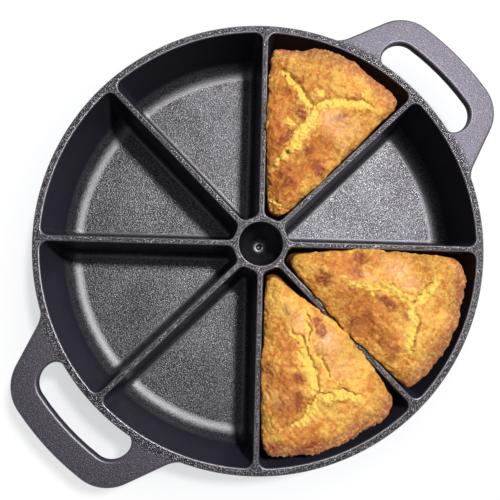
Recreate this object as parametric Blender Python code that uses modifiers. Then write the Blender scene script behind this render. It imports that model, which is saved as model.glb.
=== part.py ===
"""Wedge cornbread skillet: a round iron casting with eight wedge pockets and two loop handles.

Three baked cornbread wedges stand in three of the pockets, as the photograph shows them.
Metres, +Z up. The origin is under the middle of the pan, on the surface it stands on, and +X
runs along the two handles. Heights are measured up from that surface and depths down from
the rim, whose flat top is one plane for the rim, the dividers, the hub and the handles.
"""
import bpy
import bmesh
from math import acos, asin, atan2, ceil, cos, pi, radians, sin, sqrt, tan
from mathutils import Matrix, Vector

# The round pan
RIM_RADIUS = 0.130
RIM_WIDTH = 0.0043
RIM_EDGE = 0.0008
OUTER_DRAFT = radians(8.3)
FLOOR_THICKNESS = 0.0045
FOOT_ROUND = 0.015

# The wedge pockets and the dividers between them
POCKET_COUNT = 8
POCKET_DEPTH = 0.038
POCKET_EDGE = 0.0005
POCKET_CORNER = 0.0045
POCKET_TIP = 0.0043
POCKET_FILLET = 0.004
POCKET_OUTER_FILLET = 0.011
SMALLEST_CORNER = 0.0008
DIVIDER_WIDTH = 0.0036
DIVIDER_DRAFT = radians(5)

# The hub in the middle, with its bowl
HUB_RADIUS = 0.0159
HUB_WALL = 0.0033
BOWL_DEPTH = 0.025
BOWL_BOTTOM_RADIUS = 0.002
BOWL_ROUNDNESS = 1.7

# The underside: a valley under each divider and a recess under the hub
VALLEY_HEIGHT = 0.0145
VALLEY_WIDTH = 0.0052
VALLEY_DRAFT = radians(9)
VALLEY_FOOT_ROUND = 0.0075
VALLEY_CEILING_ROUND = 0.0025
VALLEY_CEILING_FLAT = 0.2
CUP_CORNER = 0.0088
CUP_CORNER_CROSSING = 0.00022
RECESS_RADIUS = 0.0145
RECESS_ROUND = 0.004

# The two loop handles: the slot, and the metal round it
SLOT_WIDTH = 0.0192
SLOT_BITE = 0.0004
SLOT_END_ANGLE = radians(9)
SLOT_END_FULLNESS = 0.6
SLOT_INNER_FULLNESS = 0.2
GRIP_WIDTH = 0.0154
SHOULDER_WIDTH = 0.013
HANDLE_TAPER = radians(19.6)
HANDLE_ROOT_ROUND = 0.017
HANDLE_THICKNESS = 0.0054
HANDLE_EDGE = 0.0016
HANDLE_OVERLAP = 0.010
HANDLE_DROP = 0.0001

# The cornbread wedges
BREAD_POCKETS = (0, 5, 6)
BREAD_SEAT_GAP = 0.0003
BREAD_SIDE_GAP = 0.0006
BREAD_SHRINK = 0.0048
BREAD_SHOULDER_DEPTH = 0.002
BREAD_CROWN = 0.0115
BREAD_TOP_FLAT = 0.0006
BREAD_CROWN_FULLNESS = 0.6
BREAD_CROWN_CORNER = 0.003
BREAD_CENTRE = 0.080

# The split that each wedge's crown baked open along: where it starts, then its three arms. A
# point is a share of the rim's radius and a share of the turn from the pocket's middle to a side
SPLIT_RADIUS = 0.0026
SPLIT_DEPTH = 0.0017
SPLIT_END = 0.35
CROWN_SPLITS = (
    ((0.65, 0.12),
     ((0.68, 0.32), (0.74, 0.53), (0.77, 0.72)),
     ((0.69, -0.06), (0.72, -0.25), (0.76, -0.46), (0.79, -0.63)),
     ((0.59, 0.05), (0.51, 0.02), (0.44, 0.19), (0.40, 0.54))),
    ((0.66, -0.02),
     ((0.70, 0.22), (0.74, 0.43), (0.79, 0.63)),
     ((0.72, -0.25), (0.77, -0.50), (0.80, -0.64)),
     ((0.56, 0.07), (0.45, 0.14), (0.41, 0.32))),
    ((0.71, 0.10),
     ((0.75, 0.42), (0.81, 0.64)),
     ((0.75, -0.13), (0.78, -0.47), (0.79, -0.69)),
     ((0.63, 0.11), (0.57, 0.16), (0.49, 0.00), (0.39, -0.05))),
)

# How finely round shapes are cut into flats
FACET_COUNT_PAN = 72
FACET_COUNT_HUB = 32
STEP_COUNT_POCKET_ARC = 8
STEP_COUNT_CORNER = 4
STEP_COUNT_FILLET = 4
STEP_COUNT_FOOT = 6
STEP_COUNT_CROWN = 7
STEP_COUNT_BOWL = 9
STEP_ON_HANDLE = radians(9)
CUTTER_REACH = 0.004
WELD = 0.000001

# Sizes that follow from those above
HEIGHT = POCKET_DEPTH + FLOOR_THICKNESS
POCKET_PITCH = 2 * pi / POCKET_COUNT
POCKET_RADIUS = RIM_RADIUS - RIM_WIDTH
BOWL_RADIUS = HUB_RADIUS - HUB_WALL
SLOT_INNER = RIM_RADIUS - SLOT_BITE
SLOT_OUTER = SLOT_INNER + SLOT_WIDTH
SLOT_END_ROUND = SLOT_WIDTH * SLOT_END_FULLNESS
SLOT_INNER_ROUND = SLOT_WIDTH * SLOT_INNER_FULLNESS
HANDLE_REACH = SLOT_OUTER + GRIP_WIDTH
HANDLE_CORNER = SLOT_END_ROUND + SHOULDER_WIDTH

IRON_COLOUR = (0.036, 0.035, 0.038, 1)
CRUST_COLOUR = (0.72, 0.34, 0.07, 1)


def clear_scene():
    for obj in list(bpy.data.objects):
        bpy.data.objects.remove(obj, do_unlink=True)


def new_collection(name):
    collection = bpy.data.collections.new(name)
    bpy.context.scene.collection.children.link(collection)
    return collection


def new_material(name, colour, roughness, metallic):
    material = bpy.data.materials.new(name)
    material.use_nodes = True
    shader = material.node_tree.nodes["Principled BSDF"]
    shader.inputs["Base Color"].default_value = colour
    shader.inputs["Roughness"].default_value = roughness
    shader.inputs["Metallic"].default_value = metallic
    material.diffuse_color = colour
    return material


def new_object(name, mesh, collection, construction=False):
    obj = bpy.data.objects.new(name, mesh)
    collection.objects.link(obj)
    if construction:
        obj.hide_render = True
        obj.display_type = 'WIRE'
    return obj


def arc(centre, radius, start, end, steps, ends=(True, True)):
    """Points on an arc, with or without the first and the last one."""
    first = 0 if ends[0] else 1
    last = steps + 1 if ends[1] else steps
    turn = (end - start) / steps
    return [(centre[0] + radius * cos(start + turn * i), centre[1] + radius * sin(start + turn * i))
            for i in range(first, last)]


def mirrored(half):
    """Closes a half outline, which starts on the X axis, with its mirror image in that axis."""
    return half + [(x, -y) for x, y in reversed(half) if abs(y) > WELD]


def quarter(steps):
    """The turns at the ends of equal steps through a quarter circle."""
    return [pi / 2 * i / steps for i in range(steps + 1)]


def loft(sections, name):
    """A closed mesh through outlines with the same number of points, each at its own height."""
    shape = bmesh.new()
    rings = [[shape.verts.new((x, y, height)) for x, y in outline] for outline, height in sections]
    for lower, upper in zip(rings, rings[1:]):
        for i in range(len(lower)):
            j = (i + 1) % len(lower)
            shape.faces.new((lower[i], lower[j], upper[j], upper[i]))
    shape.faces.new(rings[0][::-1])
    shape.faces.new(rings[-1])
    bmesh.ops.recalc_face_normals(shape, faces=shape.faces)
    mesh = bpy.data.meshes.new(name)
    shape.to_mesh(mesh)
    shape.free()
    return mesh


def repeated(mesh, turns):
    """Adds copies of a mesh to itself, each turned about the pan's axis."""
    shape = bmesh.new()
    for turn in turns:
        copy = mesh.copy()
        copy.transform(Matrix.Rotation(turn, 4, 'Z'))
        shape.from_mesh(copy)
        bpy.data.meshes.remove(copy)
    shape.to_mesh(mesh)
    shape.free()


def turned(name, profile, facets, collection, construction=False):
    """A solid turned about Z from a profile of (radius, height) points, from top to bottom."""
    mesh = bpy.data.meshes.new(name)
    mesh.from_pydata([(radius, 0, height) for radius, height in profile],
                     [(i, i + 1) for i in range(len(profile) - 1)], [])
    obj = new_object(name, mesh, collection, construction)
    screw = obj.modifiers.new("turn", 'SCREW')
    screw.steps = facets
    screw.render_steps = facets
    screw.use_merge_vertices = True
    screw.merge_threshold = WELD
    return obj


def add_boolean(obj, tool, operation):
    modifier = obj.modifiers.new(tool.name, 'BOOLEAN')
    modifier.operation = operation
    modifier.solver = 'EXACT'
    modifier.object = tool


def evaluated_mesh(obj):
    """The mesh that an object's curve or modifiers give, with points that coincide welded."""
    bpy.context.view_layer.update()
    evaluated = obj.evaluated_get(bpy.context.evaluated_depsgraph_get())
    mesh = bpy.data.meshes.new_from_object(evaluated)
    mesh.name = obj.name
    shape = bmesh.new()
    shape.from_mesh(mesh)
    bmesh.ops.remove_doubles(shape, verts=shape.verts, dist=WELD)
    bmesh.ops.recalc_face_normals(shape, faces=shape.faces)
    shape.to_mesh(mesh)
    shape.free()
    return mesh


def make_mesh(obj, sharpest):
    """Replaces an object's data and modifiers by the mesh that they give, shaded smooth."""
    mesh = evaluated_mesh(obj)
    obj.modifiers.clear()
    obj.data = mesh
    mesh.shade_smooth()
    mesh.set_sharp_from_angle(angle=sharpest)


def closed_mesh(curve, collection):
    """The mesh of a curve's solid, with its loose caps welded on."""
    guide = new_object(curve.name, curve, collection)
    mesh = evaluated_mesh(guide)
    bpy.data.objects.remove(guide)
    return mesh


def wedge_outline(half_divider, outer_radius, inner_radius, outer_corner, tip_radius):
    """Outline of a wedge whose middle line is +X, between two spokes one pitch apart.

    Its sides run parallel to the spokes, half_divider away from them. Its outer end is an arc
    about the pan's axis, and its inner end is rounded off against the hub's circle.
    """
    half_pitch = POCKET_PITCH / 2
    corner_reach = outer_radius - outer_corner
    corner_turn = half_pitch - asin((half_divider + outer_corner) / corner_reach)
    corner = (corner_reach * cos(corner_turn), corner_reach * sin(corner_turn))
    half = arc((0, 0), outer_radius, 0, corner_turn, STEP_COUNT_POCKET_ARC // 2)
    half += arc(corner, outer_corner, corner_turn, half_pitch + pi / 2, STEP_COUNT_CORNER, (False, True))

    full_round = (inner_radius * sin(half_pitch) - half_divider) / (1 - sin(half_pitch))
    tip_radius = max(min(tip_radius, full_round), SMALLEST_CORNER)
    reach = (half_divider + tip_radius) / (inner_radius + tip_radius)
    tip_turn = max(half_pitch - asin(min(reach, 1)), 0)
    reach = (half_divider + tip_radius) / sin(half_pitch - tip_turn)
    tip = (reach * cos(tip_turn), reach * sin(tip_turn))
    last_step = 1 - 0.5 / STEP_COUNT_CORNER
    tip_end = half_pitch + pi / 2 + (pi / 2 - half_pitch + tip_turn) * last_step
    half += arc(tip, tip_radius, half_pitch + pi / 2, tip_end, STEP_COUNT_CORNER - 1)
    return mirrored(half)


def drawn_in(depth, draft, fillet):
    """How far a pocket's wall has moved in at a depth, with its rounded top and floor fillet."""
    wall = depth * tan(draft)
    if depth < POCKET_EDGE:
        return wall - POCKET_EDGE + sqrt(POCKET_EDGE ** 2 - (POCKET_EDGE - max(depth, 0)) ** 2)
    centre_depth = POCKET_DEPTH - fillet
    if depth > centre_depth + fillet * sin(draft):
        centre = centre_depth * tan(draft) + fillet / cos(draft)
        return centre - sqrt(max(fillet ** 2 - (depth - centre_depth) ** 2, 0))
    return wall


def pocket_section(depth, gap=0.0, shrink=0.0):
    """The pocket's outline at a depth, a gap smaller all round and a shrink shorter at the outside."""
    side = drawn_in(depth, DIVIDER_DRAFT, POCKET_FILLET)
    rounding = side - depth * tan(DIVIDER_DRAFT) + gap
    outer = POCKET_RADIUS - drawn_in(depth, OUTER_DRAFT, POCKET_OUTER_FILLET)
    return wedge_outline(DIVIDER_WIDTH / 2 + side + gap,
                         outer - gap - shrink,
                         HUB_RADIUS + side + gap,
                         max(POCKET_CORNER - rounding, SMALLEST_CORNER),
                         POCKET_TIP)


def fillet_depths():
    """Depths of the rings that round a pocket's walls into its floor, evenly round the larger fillet."""
    start = POCKET_DEPTH - POCKET_OUTER_FILLET
    turn = (pi / 2 - OUTER_DRAFT) / STEP_COUNT_FOOT
    return [start + POCKET_OUTER_FILLET * sin(OUTER_DRAFT + turn * i)
            for i in range(STEP_COUNT_FOOT + 1)]


def pockets_cutter(collection):
    edge_depths = [POCKET_EDGE * (1 - cos(turn)) for turn in quarter(STEP_COUNT_FILLET // 2)]
    sections = [(pocket_section(0), HEIGHT + CUTTER_REACH)]
    sections += [(pocket_section(depth), HEIGHT - depth) for depth in edge_depths + fillet_depths()]
    mesh = loft(sections, "pockets_cutter")
    repeated(mesh, [POCKET_PITCH * (i + 0.5) for i in range(POCKET_COUNT)])
    return new_object("pockets_cutter", mesh, collection, construction=True)


def outer_radius(height):
    """Radius of the pan's outer wall at a height, without its rounded edges."""
    return RIM_RADIUS - (HEIGHT - height) * tan(OUTER_DRAFT)


def foot_draw_in(height, draft, rounding):
    """How far a wall that slopes in towards the foot is drawn in more by the foot's rounded edge."""
    start = rounding * (1 - sin(draft))
    if height >= start:
        return 0
    corner = rounding / cos(draft) - rounding * tan(draft) + height * tan(draft)
    return corner - sqrt(rounding ** 2 - (rounding - height) ** 2)


def foot_heights(rounding, draft, steps):
    """Heights of the rings that round a foot's edge, from the foot up."""
    turn = (pi / 2 - draft) / steps
    return [rounding * (1 - cos(turn * i)) for i in range(steps + 1)]


def pan_body(collection):
    """The solid round body, before anything is cut out of it."""
    edge = [(RIM_RADIUS - RIM_EDGE + RIM_EDGE * sin(turn), HEIGHT - RIM_EDGE + RIM_EDGE * cos(turn))
            for turn in quarter(STEP_COUNT_FILLET)]
    wall = [(outer_radius(height) - foot_draw_in(height, OUTER_DRAFT, FOOT_ROUND), height)
            for height in reversed(foot_heights(FOOT_ROUND, OUTER_DRAFT, STEP_COUNT_FOOT))]
    return turned("pan_casting", [(0, HEIGHT)] + edge + wall + [(0, 0)], FACET_COUNT_PAN, collection)


def valley_outline(height):
    """Outline of the valley under a divider that runs along +X, at a height above the foot.

    It is the gap between two neighbouring cups, whose outer corners are rounded off, so it
    widens towards the outer wall, which each rounding crosses by a hair.
    """
    inset = foot_draw_in(height, VALLEY_DRAFT, VALLEY_FOOT_ROUND)
    half_width = VALLEY_WIDTH / 2 - height * tan(VALLEY_DRAFT) + inset
    ceiling = max((height - VALLEY_HEIGHT + VALLEY_CEILING_ROUND) / VALLEY_CEILING_ROUND, 0)
    half_width *= max(sqrt(max(1 - ceiling ** 2, 0)), VALLEY_CEILING_FLAT)
    corner = max(CUP_CORNER - inset, SMALLEST_CORNER)
    wall = outer_radius(height) - foot_draw_in(height, OUTER_DRAFT, FOOT_ROUND)
    centre_y = half_width + corner
    centre_x = sqrt((wall - corner + CUP_CORNER_CROSSING) ** 2 - centre_y ** 2)
    turn = atan2(centre_y, centre_x)
    half = [(RECESS_RADIUS - CUTTER_REACH / 2, half_width)]
    half += arc((centre_x, centre_y), corner, -pi / 2, turn, STEP_COUNT_CORNER + 1)
    half += [(RIM_RADIUS + CUTTER_REACH, half[-1][1])]
    return mirrored(half[::-1])


def valleys_cutter(name, turns, collection):
    """Every other valley, because two that are next to each other overlap at the hub."""
    ceiling = [VALLEY_HEIGHT - VALLEY_CEILING_ROUND * (1 - sin(turn))
               for turn in quarter(STEP_COUNT_FILLET // 2)]
    heights = foot_heights(VALLEY_FOOT_ROUND, VALLEY_DRAFT, STEP_COUNT_FILLET)
    heights += [height for height in foot_heights(FOOT_ROUND, OUTER_DRAFT, STEP_COUNT_FOOT)
                if heights[-1] < height < ceiling[0]]
    heights += ceiling
    sections = [(valley_outline(0), -CUTTER_REACH)]
    sections += [(valley_outline(height), height) for height in heights]
    mesh = loft(sections, name)
    repeated(mesh, turns)
    return new_object(name, mesh, collection, construction=True)


def recess_cutter(collection):
    """The hollow under the hub, which keeps the metal under the bowl as thick as a pocket's floor."""
    ceiling = HEIGHT - BOWL_DEPTH - FLOOR_THICKNESS
    profile = [(0, ceiling)]
    profile += [(RECESS_RADIUS - ceiling * tan(DIVIDER_DRAFT) - RECESS_ROUND * (1 - sin(turn)),
                 ceiling - RECESS_ROUND * (1 - cos(turn))) for turn in quarter(STEP_COUNT_FILLET - 1)]
    profile += [(RECESS_RADIUS - height * tan(DIVIDER_DRAFT)
                 + foot_draw_in(height, DIVIDER_DRAFT, RECESS_ROUND), height)
                for height in reversed(foot_heights(RECESS_ROUND, DIVIDER_DRAFT, STEP_COUNT_FILLET))]
    profile += [(profile[-1][0], -CUTTER_REACH), (0, -CUTTER_REACH)]
    return turned("recess_cutter", profile, FACET_COUNT_HUB, collection, construction=True)


def bowl_cutter(collection):
    """The bowl in the hub: steep at its mouth, round below, with a small flat at the bottom."""
    mouth = BOWL_RADIUS + POCKET_EDGE
    profile = [(0, HEIGHT + CUTTER_REACH), (mouth, HEIGHT + CUTTER_REACH), (mouth, HEIGHT),
               (BOWL_RADIUS, HEIGHT - POCKET_EDGE)]
    for turn in quarter(STEP_COUNT_BOWL)[1:]:
        width = max(cos(turn), 0) ** (2 / BOWL_ROUNDNESS)
        profile.append((BOWL_BOTTOM_RADIUS + (BOWL_RADIUS - BOWL_BOTTOM_RADIUS) * width,
                        HEIGHT - BOWL_DEPTH * sin(turn) ** (2 / BOWL_ROUNDNESS)))
    profile.append((0, HEIGHT - BOWL_DEPTH))
    return turned("bowl_cutter", profile, FACET_COUNT_HUB, collection, construction=True)


def steps_for(turn):
    return max(2, ceil(abs(turn) / STEP_ON_HANDLE))


def handle_outline():
    """Outline of a loop handle on +X: grip, rounded shoulders, tapered sides and hollow roots."""
    shoulder_reach = HANDLE_REACH - HANDLE_CORNER
    shoulder = Vector((shoulder_reach * cos(SLOT_END_ANGLE), shoulder_reach * sin(SLOT_END_ANGLE)))
    outward = Vector((sin(HANDLE_TAPER), cos(HANDLE_TAPER)))
    along = Vector((-cos(HANDLE_TAPER), sin(HANDLE_TAPER)))
    root_circle = SLOT_INNER + HANDLE_ROOT_ROUND
    start = shoulder + outward * (HANDLE_CORNER + HANDLE_ROOT_ROUND)
    ahead = start.dot(along)
    run = -ahead - sqrt(ahead ** 2 - start.length_squared + root_circle ** 2)
    root = start + along * run

    side_turn = pi / 2 - HANDLE_TAPER
    root_turn = atan2(root.y, root.x)
    inner = RIM_RADIUS - HANDLE_OVERLAP
    half = arc((0, 0), HANDLE_REACH, 0, SLOT_END_ANGLE, steps_for(SLOT_END_ANGLE))
    half += arc(shoulder, HANDLE_CORNER, SLOT_END_ANGLE, side_turn,
                steps_for(side_turn - SLOT_END_ANGLE), (False, True))
    half += arc(root, HANDLE_ROOT_ROUND, side_turn + pi, root_turn + pi, steps_for(root_turn - side_turn))
    half += [(inner * cos(root_turn), inner * sin(root_turn)), (inner * cos(root_turn), 0)]
    return mirrored(half)


def slot_outline():
    """Outline of the handle's slot: the grip's inner arc, two round ends and the rim's circle."""
    end_reach = SLOT_OUTER - SLOT_END_ROUND
    end = (end_reach * cos(SLOT_END_ANGLE), end_reach * sin(SLOT_END_ANGLE))
    corner_reach = SLOT_INNER + SLOT_INNER_ROUND
    between = SLOT_END_ROUND - SLOT_INNER_ROUND
    swing = (corner_reach ** 2 + end_reach ** 2 - between ** 2) / (2 * corner_reach * end_reach)
    corner_turn = SLOT_END_ANGLE + acos(swing)
    corner = (corner_reach * cos(corner_turn), corner_reach * sin(corner_turn))
    meeting = atan2(corner[1] - end[1], corner[0] - end[0])
    half = arc((0, 0), SLOT_OUTER, 0, SLOT_END_ANGLE, steps_for(SLOT_END_ANGLE))
    half += arc(end, SLOT_END_ROUND, SLOT_END_ANGLE, meeting,
                steps_for(meeting - SLOT_END_ANGLE), (False, True))
    half += arc(corner, SLOT_INNER_ROUND, meeting, corner_turn + pi,
                steps_for(corner_turn + pi - meeting) // 2, (False, True))
    half += arc((0, 0), SLOT_INNER, corner_turn, 0, steps_for(corner_turn), (False, True))
    return mirrored(half)


def handle_slab(name, turn, collection):
    """One handle as a flat plate with its slot, a hair below the rim's top, its edges rounded."""
    curve = bpy.data.curves.new(name, 'CURVE')
    curve.dimensions = '2D'
    curve.fill_mode = 'BOTH'
    curve.extrude = HANDLE_THICKNESS / 2 - HANDLE_EDGE
    curve.bevel_depth = HANDLE_EDGE
    curve.bevel_resolution = 1
    curve.offset = -HANDLE_EDGE
    for outline in (handle_outline(), slot_outline()):
        spline = curve.splines.new('POLY')
        spline.points.add(len(outline) - 1)
        for point, (x, y) in zip(spline.points, outline):
            point.co = (x, y, 0, 1)
        spline.use_cyclic_u = True
    slab = new_object(name, closed_mesh(curve, collection), collection, construction=True)
    level = Matrix.Translation((0, 0, HEIGHT - HANDLE_DROP - HANDLE_THICKNESS / 2))
    slab.matrix_world = Matrix.Rotation(turn, 4, 'Z') @ level
    return slab


def make_casting(parts, construction, iron):
    casting = pan_body(parts)
    casting.data.materials.append(iron)
    for name, turn in (("handle_front", 0), ("handle_back", pi)):
        add_boolean(casting, handle_slab(name, turn, construction), 'UNION')
    for cutter in (pockets_cutter, bowl_cutter, recess_cutter):
        add_boolean(casting, cutter(construction), 'DIFFERENCE')
    spokes = [POCKET_PITCH * i for i in range(POCKET_COUNT)]
    for name, turns in (("even_valleys_cutter", spokes[::2]), ("odd_valleys_cutter", spokes[1::2])):
        add_boolean(casting, valleys_cutter(name, turns, construction), 'DIFFERENCE')
    make_mesh(casting, radians(35))


def bread_shoulder():
    """Where the crown starts: its distance from the spoke, and its outer and inner radius."""
    depth = BREAD_SHOULDER_DEPTH
    shrink = BREAD_SHRINK * (1 - depth / POCKET_DEPTH)
    side = drawn_in(depth, DIVIDER_DRAFT, POCKET_FILLET) + BREAD_SIDE_GAP
    outer = POCKET_RADIUS - drawn_in(depth, OUTER_DRAFT, POCKET_OUTER_FILLET) - BREAD_SIDE_GAP - shrink
    return DIVIDER_WIDTH / 2 + side, outer, HUB_RADIUS + side


def crown_reach():
    """How far in from its edge a wedge's crown keeps rising, up to the small flat at its top."""
    half_divider, outer, _ = bread_shoulder()
    widest_round = (outer * sin(POCKET_PITCH / 2) - half_divider) / (1 + sin(POCKET_PITCH / 2))
    return widest_round - BREAD_CROWN_CORNER - BREAD_TOP_FLAT


def crown_height(inset):
    """Height of a wedge's crown at a distance in from its edge."""
    share = min(max(inset / crown_reach(), 0), 1)
    return HEIGHT - BREAD_SHOULDER_DEPTH + BREAD_CROWN * sin(pi / 2 * share) ** BREAD_CROWN_FULLNESS


def bread_mesh():
    """A baked wedge that follows its pocket with a gap, and rises to a rounded crown above it."""
    lowest = FLOOR_THICKNESS + BREAD_SEAT_GAP
    sections = []
    for depth in reversed(fillet_depths()):
        shrink = BREAD_SHRINK * (1 - depth / POCKET_DEPTH)
        sections.append((pocket_section(depth, BREAD_SIDE_GAP, shrink), max(HEIGHT - depth, lowest)))
    half_divider, outer, inner = bread_shoulder()
    for i in range(STEP_COUNT_CROWN + 1):
        inset = crown_reach() * (i / STEP_COUNT_CROWN) ** 2
        outline = wedge_outline(half_divider + inset, outer - inset, inner + inset,
                                BREAD_CROWN_CORNER, BREAD_CROWN_CORNER)
        sections.append((outline, crown_height(inset)))
    return loft(sections, "cornbread_wedge")


def split_cutter(name, points, collection):
    """A round bar along the crown from a split's start to an arm's end, where it thins out."""
    half_divider, outer, _ = bread_shoulder()
    curve = bpy.data.curves.new(name, 'CURVE')
    curve.dimensions = '3D'
    curve.bevel_depth = SPLIT_RADIUS
    curve.bevel_resolution = 2
    curve.use_fill_caps = True
    spline = curve.splines.new('POLY')
    spline.points.add(len(points) - 1)
    for i, (point, (reach_share, turn_share)) in enumerate(zip(spline.points, points)):
        reach = RIM_RADIUS * reach_share
        turn = POCKET_PITCH / 2 * turn_share
        side = reach * sin(POCKET_PITCH / 2 - abs(turn)) - half_divider
        size = 1 - (1 - SPLIT_END) * i / (len(points) - 1)
        height = crown_height(min(side, outer - reach)) + (SPLIT_RADIUS - SPLIT_DEPTH) * size
        point.co = (reach * cos(turn), reach * sin(turn), height, 1)
        point.radius = size
    return new_object(name, closed_mesh(curve, collection), collection, construction=True)


def make_breads(parts, construction, crust):
    """The wedges, each with its origin on the vertical line that it lifts out along."""
    to_origin = Matrix.Translation((-BREAD_CENTRE, 0, -FLOOR_THICKNESS))
    for number, (pocket, split) in enumerate(zip(BREAD_POCKETS, CROWN_SPLITS), start=1):
        bread = new_object(f"cornbread_wedge_{number}", bread_mesh(), parts)
        bread.data.materials.append(crust)
        start, *arms = split
        for i, arm in enumerate(arms, start=1):
            cutter = split_cutter(f"split_cutter_{number}_{i}", (start,) + arm, construction)
            add_boolean(bread, cutter, 'DIFFERENCE')
        make_mesh(bread, radians(50))
        bread.data.transform(to_origin)
        turn = POCKET_PITCH * (pocket + 0.5)
        bread.location = (BREAD_CENTRE * cos(turn), BREAD_CENTRE * sin(turn), FLOOR_THICKNESS)
        bread.rotation_euler.z = turn


def main():
    clear_scene()
    parts = new_collection("wedge_cornbread_skillet")
    construction = new_collection("construction")
    iron = new_material("seasoned_cast_iron", IRON_COLOUR, 0.55, 0.85)
    crust = new_material("cornbread_crust", CRUST_COLOUR, 0.8, 0.0)
    make_casting(parts, construction, iron)
    make_breads(parts, construction, crust)


main()
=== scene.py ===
"""The looks of a wedge cornbread skillet: the seasoned iron casting and its three baked wedges.

Metres, +Z up. The origin is under the middle of the pan, on the surface it stands on, and +X
runs along the two handles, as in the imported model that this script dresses.
"""
import logging
from dataclasses import dataclass
from enum import Enum
from itertools import product
from math import acos, asin, atan2, ceil, cos, pi, radians, sin, sqrt, tan
from typing import Any, Iterable, Sequence

import bmesh
import bpy
import numpy as np
from mathutils import Euler, Matrix, Vector


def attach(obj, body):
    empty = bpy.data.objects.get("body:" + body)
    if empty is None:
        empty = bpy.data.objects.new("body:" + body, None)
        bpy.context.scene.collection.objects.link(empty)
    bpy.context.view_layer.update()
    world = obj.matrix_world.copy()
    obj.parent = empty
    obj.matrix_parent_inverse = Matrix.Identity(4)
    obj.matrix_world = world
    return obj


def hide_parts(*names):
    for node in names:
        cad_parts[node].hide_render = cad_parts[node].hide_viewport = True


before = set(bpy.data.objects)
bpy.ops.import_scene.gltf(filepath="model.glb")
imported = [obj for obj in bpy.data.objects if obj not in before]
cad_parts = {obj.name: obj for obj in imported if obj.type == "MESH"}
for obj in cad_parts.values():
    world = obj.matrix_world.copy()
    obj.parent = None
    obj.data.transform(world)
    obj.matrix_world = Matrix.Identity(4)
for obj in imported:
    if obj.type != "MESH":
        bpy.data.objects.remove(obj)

logger = logging.getLogger("cornbread_skillet")

Point = tuple[float, float]
Span = tuple[float, float]
Outline = list[Point]
Section = tuple[Outline, float]
Colour = tuple[float, float, float, float]
Array = np.ndarray

MM = 0.001
WELD = 0.000001
CELL_SOFTNESS = 0.3
AXIS_PRIMES = (73856093, 19349663, 83492791)
SEED_PRIME = 374761393
MIXING_STEPS = ((13, 1274126177), (16, 668265263))
LOW_BITS = 0xFFFFFFFF
WHITE: Colour = (1, 1, 1, 1)


def rgb(red: float, green: float, blue: float) -> Colour:
    """A colour from the three numbers, 0 to 255, that a picture would hold for it.

    Args:
        red: How much red it has.
        green: How much green.
        blue: How much blue.

    Returns:
        The colour, opaque.
    """
    def linear(level: float) -> float:
        """The amount of light for one such number."""
        share = level / 255
        return share / 12.92 if share < 0.04045 else ((share + 0.055) / 1.055) ** 2.4
    return linear(red), linear(green), linear(blue), 1.0


def ease(value: Array | float, low: float, high: float) -> Array:
    """A soft step from 0 at low to 1 at high.

    Args:
        value: What is stepped.
        low: Where the step starts.
        high: Where it ends, which may be the smaller one.

    Returns:
        The step, from 0 to 1.
    """
    share = np.clip((value - low) / (high - low), 0, 1)
    return share * share * (3 - 2 * share)


def lumps(points: Array, size: float, seed: int) -> Array:
    """Soft random heights that change over about a size.

    Args:
        points: Where, three numbers a row.
        size: The size of a lump.
        seed: Which lumps.

    Returns:
        One height a row, from -1 to 1.
    """
    turn = np.array(Euler((0.5 + seed, 0.3, 0.8 * seed)).to_matrix())
    cell = points @ turn.T / size + seed * 7.31
    base = np.floor(cell).astype(np.int64)
    part = cell - base
    part = part * part * part * (part * (part * 6 - 15) + 10)
    total = np.zeros(len(points))
    for corner in product((0, 1), repeat=3):
        spot = base + corner
        mixed = np.bitwise_xor.reduce(spot * AXIS_PRIMES, axis=1)
        mixed = (mixed + seed * SEED_PRIME) & LOW_BITS
        for shift, prime in MIXING_STEPS:
            mixed = ((mixed ^ (mixed >> shift)) * prime) & LOW_BITS
        share = np.where(corner, part, 1 - part).prod(axis=1)
        total += share * ((mixed >> 8 & 0xFFFF) / 32767.5 - 1)
    return total


def arc(centre: Point, radius: float, start: float, end: float, steps: int,
        ends: tuple[bool, bool] = (True, True)) -> Outline:
    """Points on an arc.

    Args:
        centre: The arc's centre.
        radius: Its radius.
        start: The turn of its first point.
        end: The turn of its last point.
        steps: How many straight steps it takes.
        ends: Whether the first and the last point are given.

    Returns:
        The points in order.
    """
    first = 0 if ends[0] else 1
    last = steps + 1 if ends[1] else steps
    turn = (end - start) / steps
    return [(centre[0] + radius * cos(start + turn * i), centre[1] + radius * sin(start + turn * i))
            for i in range(first, last)]


def polar(radius: float, turn: float) -> Point:
    """The point at a radius and a turn about the origin."""
    return radius * cos(turn), radius * sin(turn)


def mirrored(half: Outline) -> Outline:
    """Closes a half outline, which starts on the X axis, with its mirror image in that axis."""
    return half + [(x, -y) for x, y in reversed(half) if abs(y) > WELD]


def quarter(steps: int) -> list[float]:
    """The turns at the ends of equal steps through a quarter circle."""
    return [pi / 2 * i / steps for i in range(steps + 1)]


def loft(sections: Sequence[Section], name: str) -> bpy.types.Mesh:
    """A closed mesh through outlines that have the same number of points.

    Args:
        sections: The outlines, each with its height.
        name: The mesh's name.

    Returns:
        The mesh.
    """
    shape = bmesh.new()
    rings = [[shape.verts.new((x, y, height)) for x, y in outline] for outline, height in sections]
    for lower, upper in zip(rings, rings[1:]):
        for i in range(len(lower)):
            j = (i + 1) % len(lower)
            shape.faces.new((lower[i], lower[j], upper[j], upper[i]))
    shape.faces.new(rings[0][::-1])
    shape.faces.new(rings[-1])
    bmesh.ops.recalc_face_normals(shape, faces=shape.faces)
    mesh = bpy.data.meshes.new(name)
    shape.to_mesh(mesh)
    shape.free()
    return mesh


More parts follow.
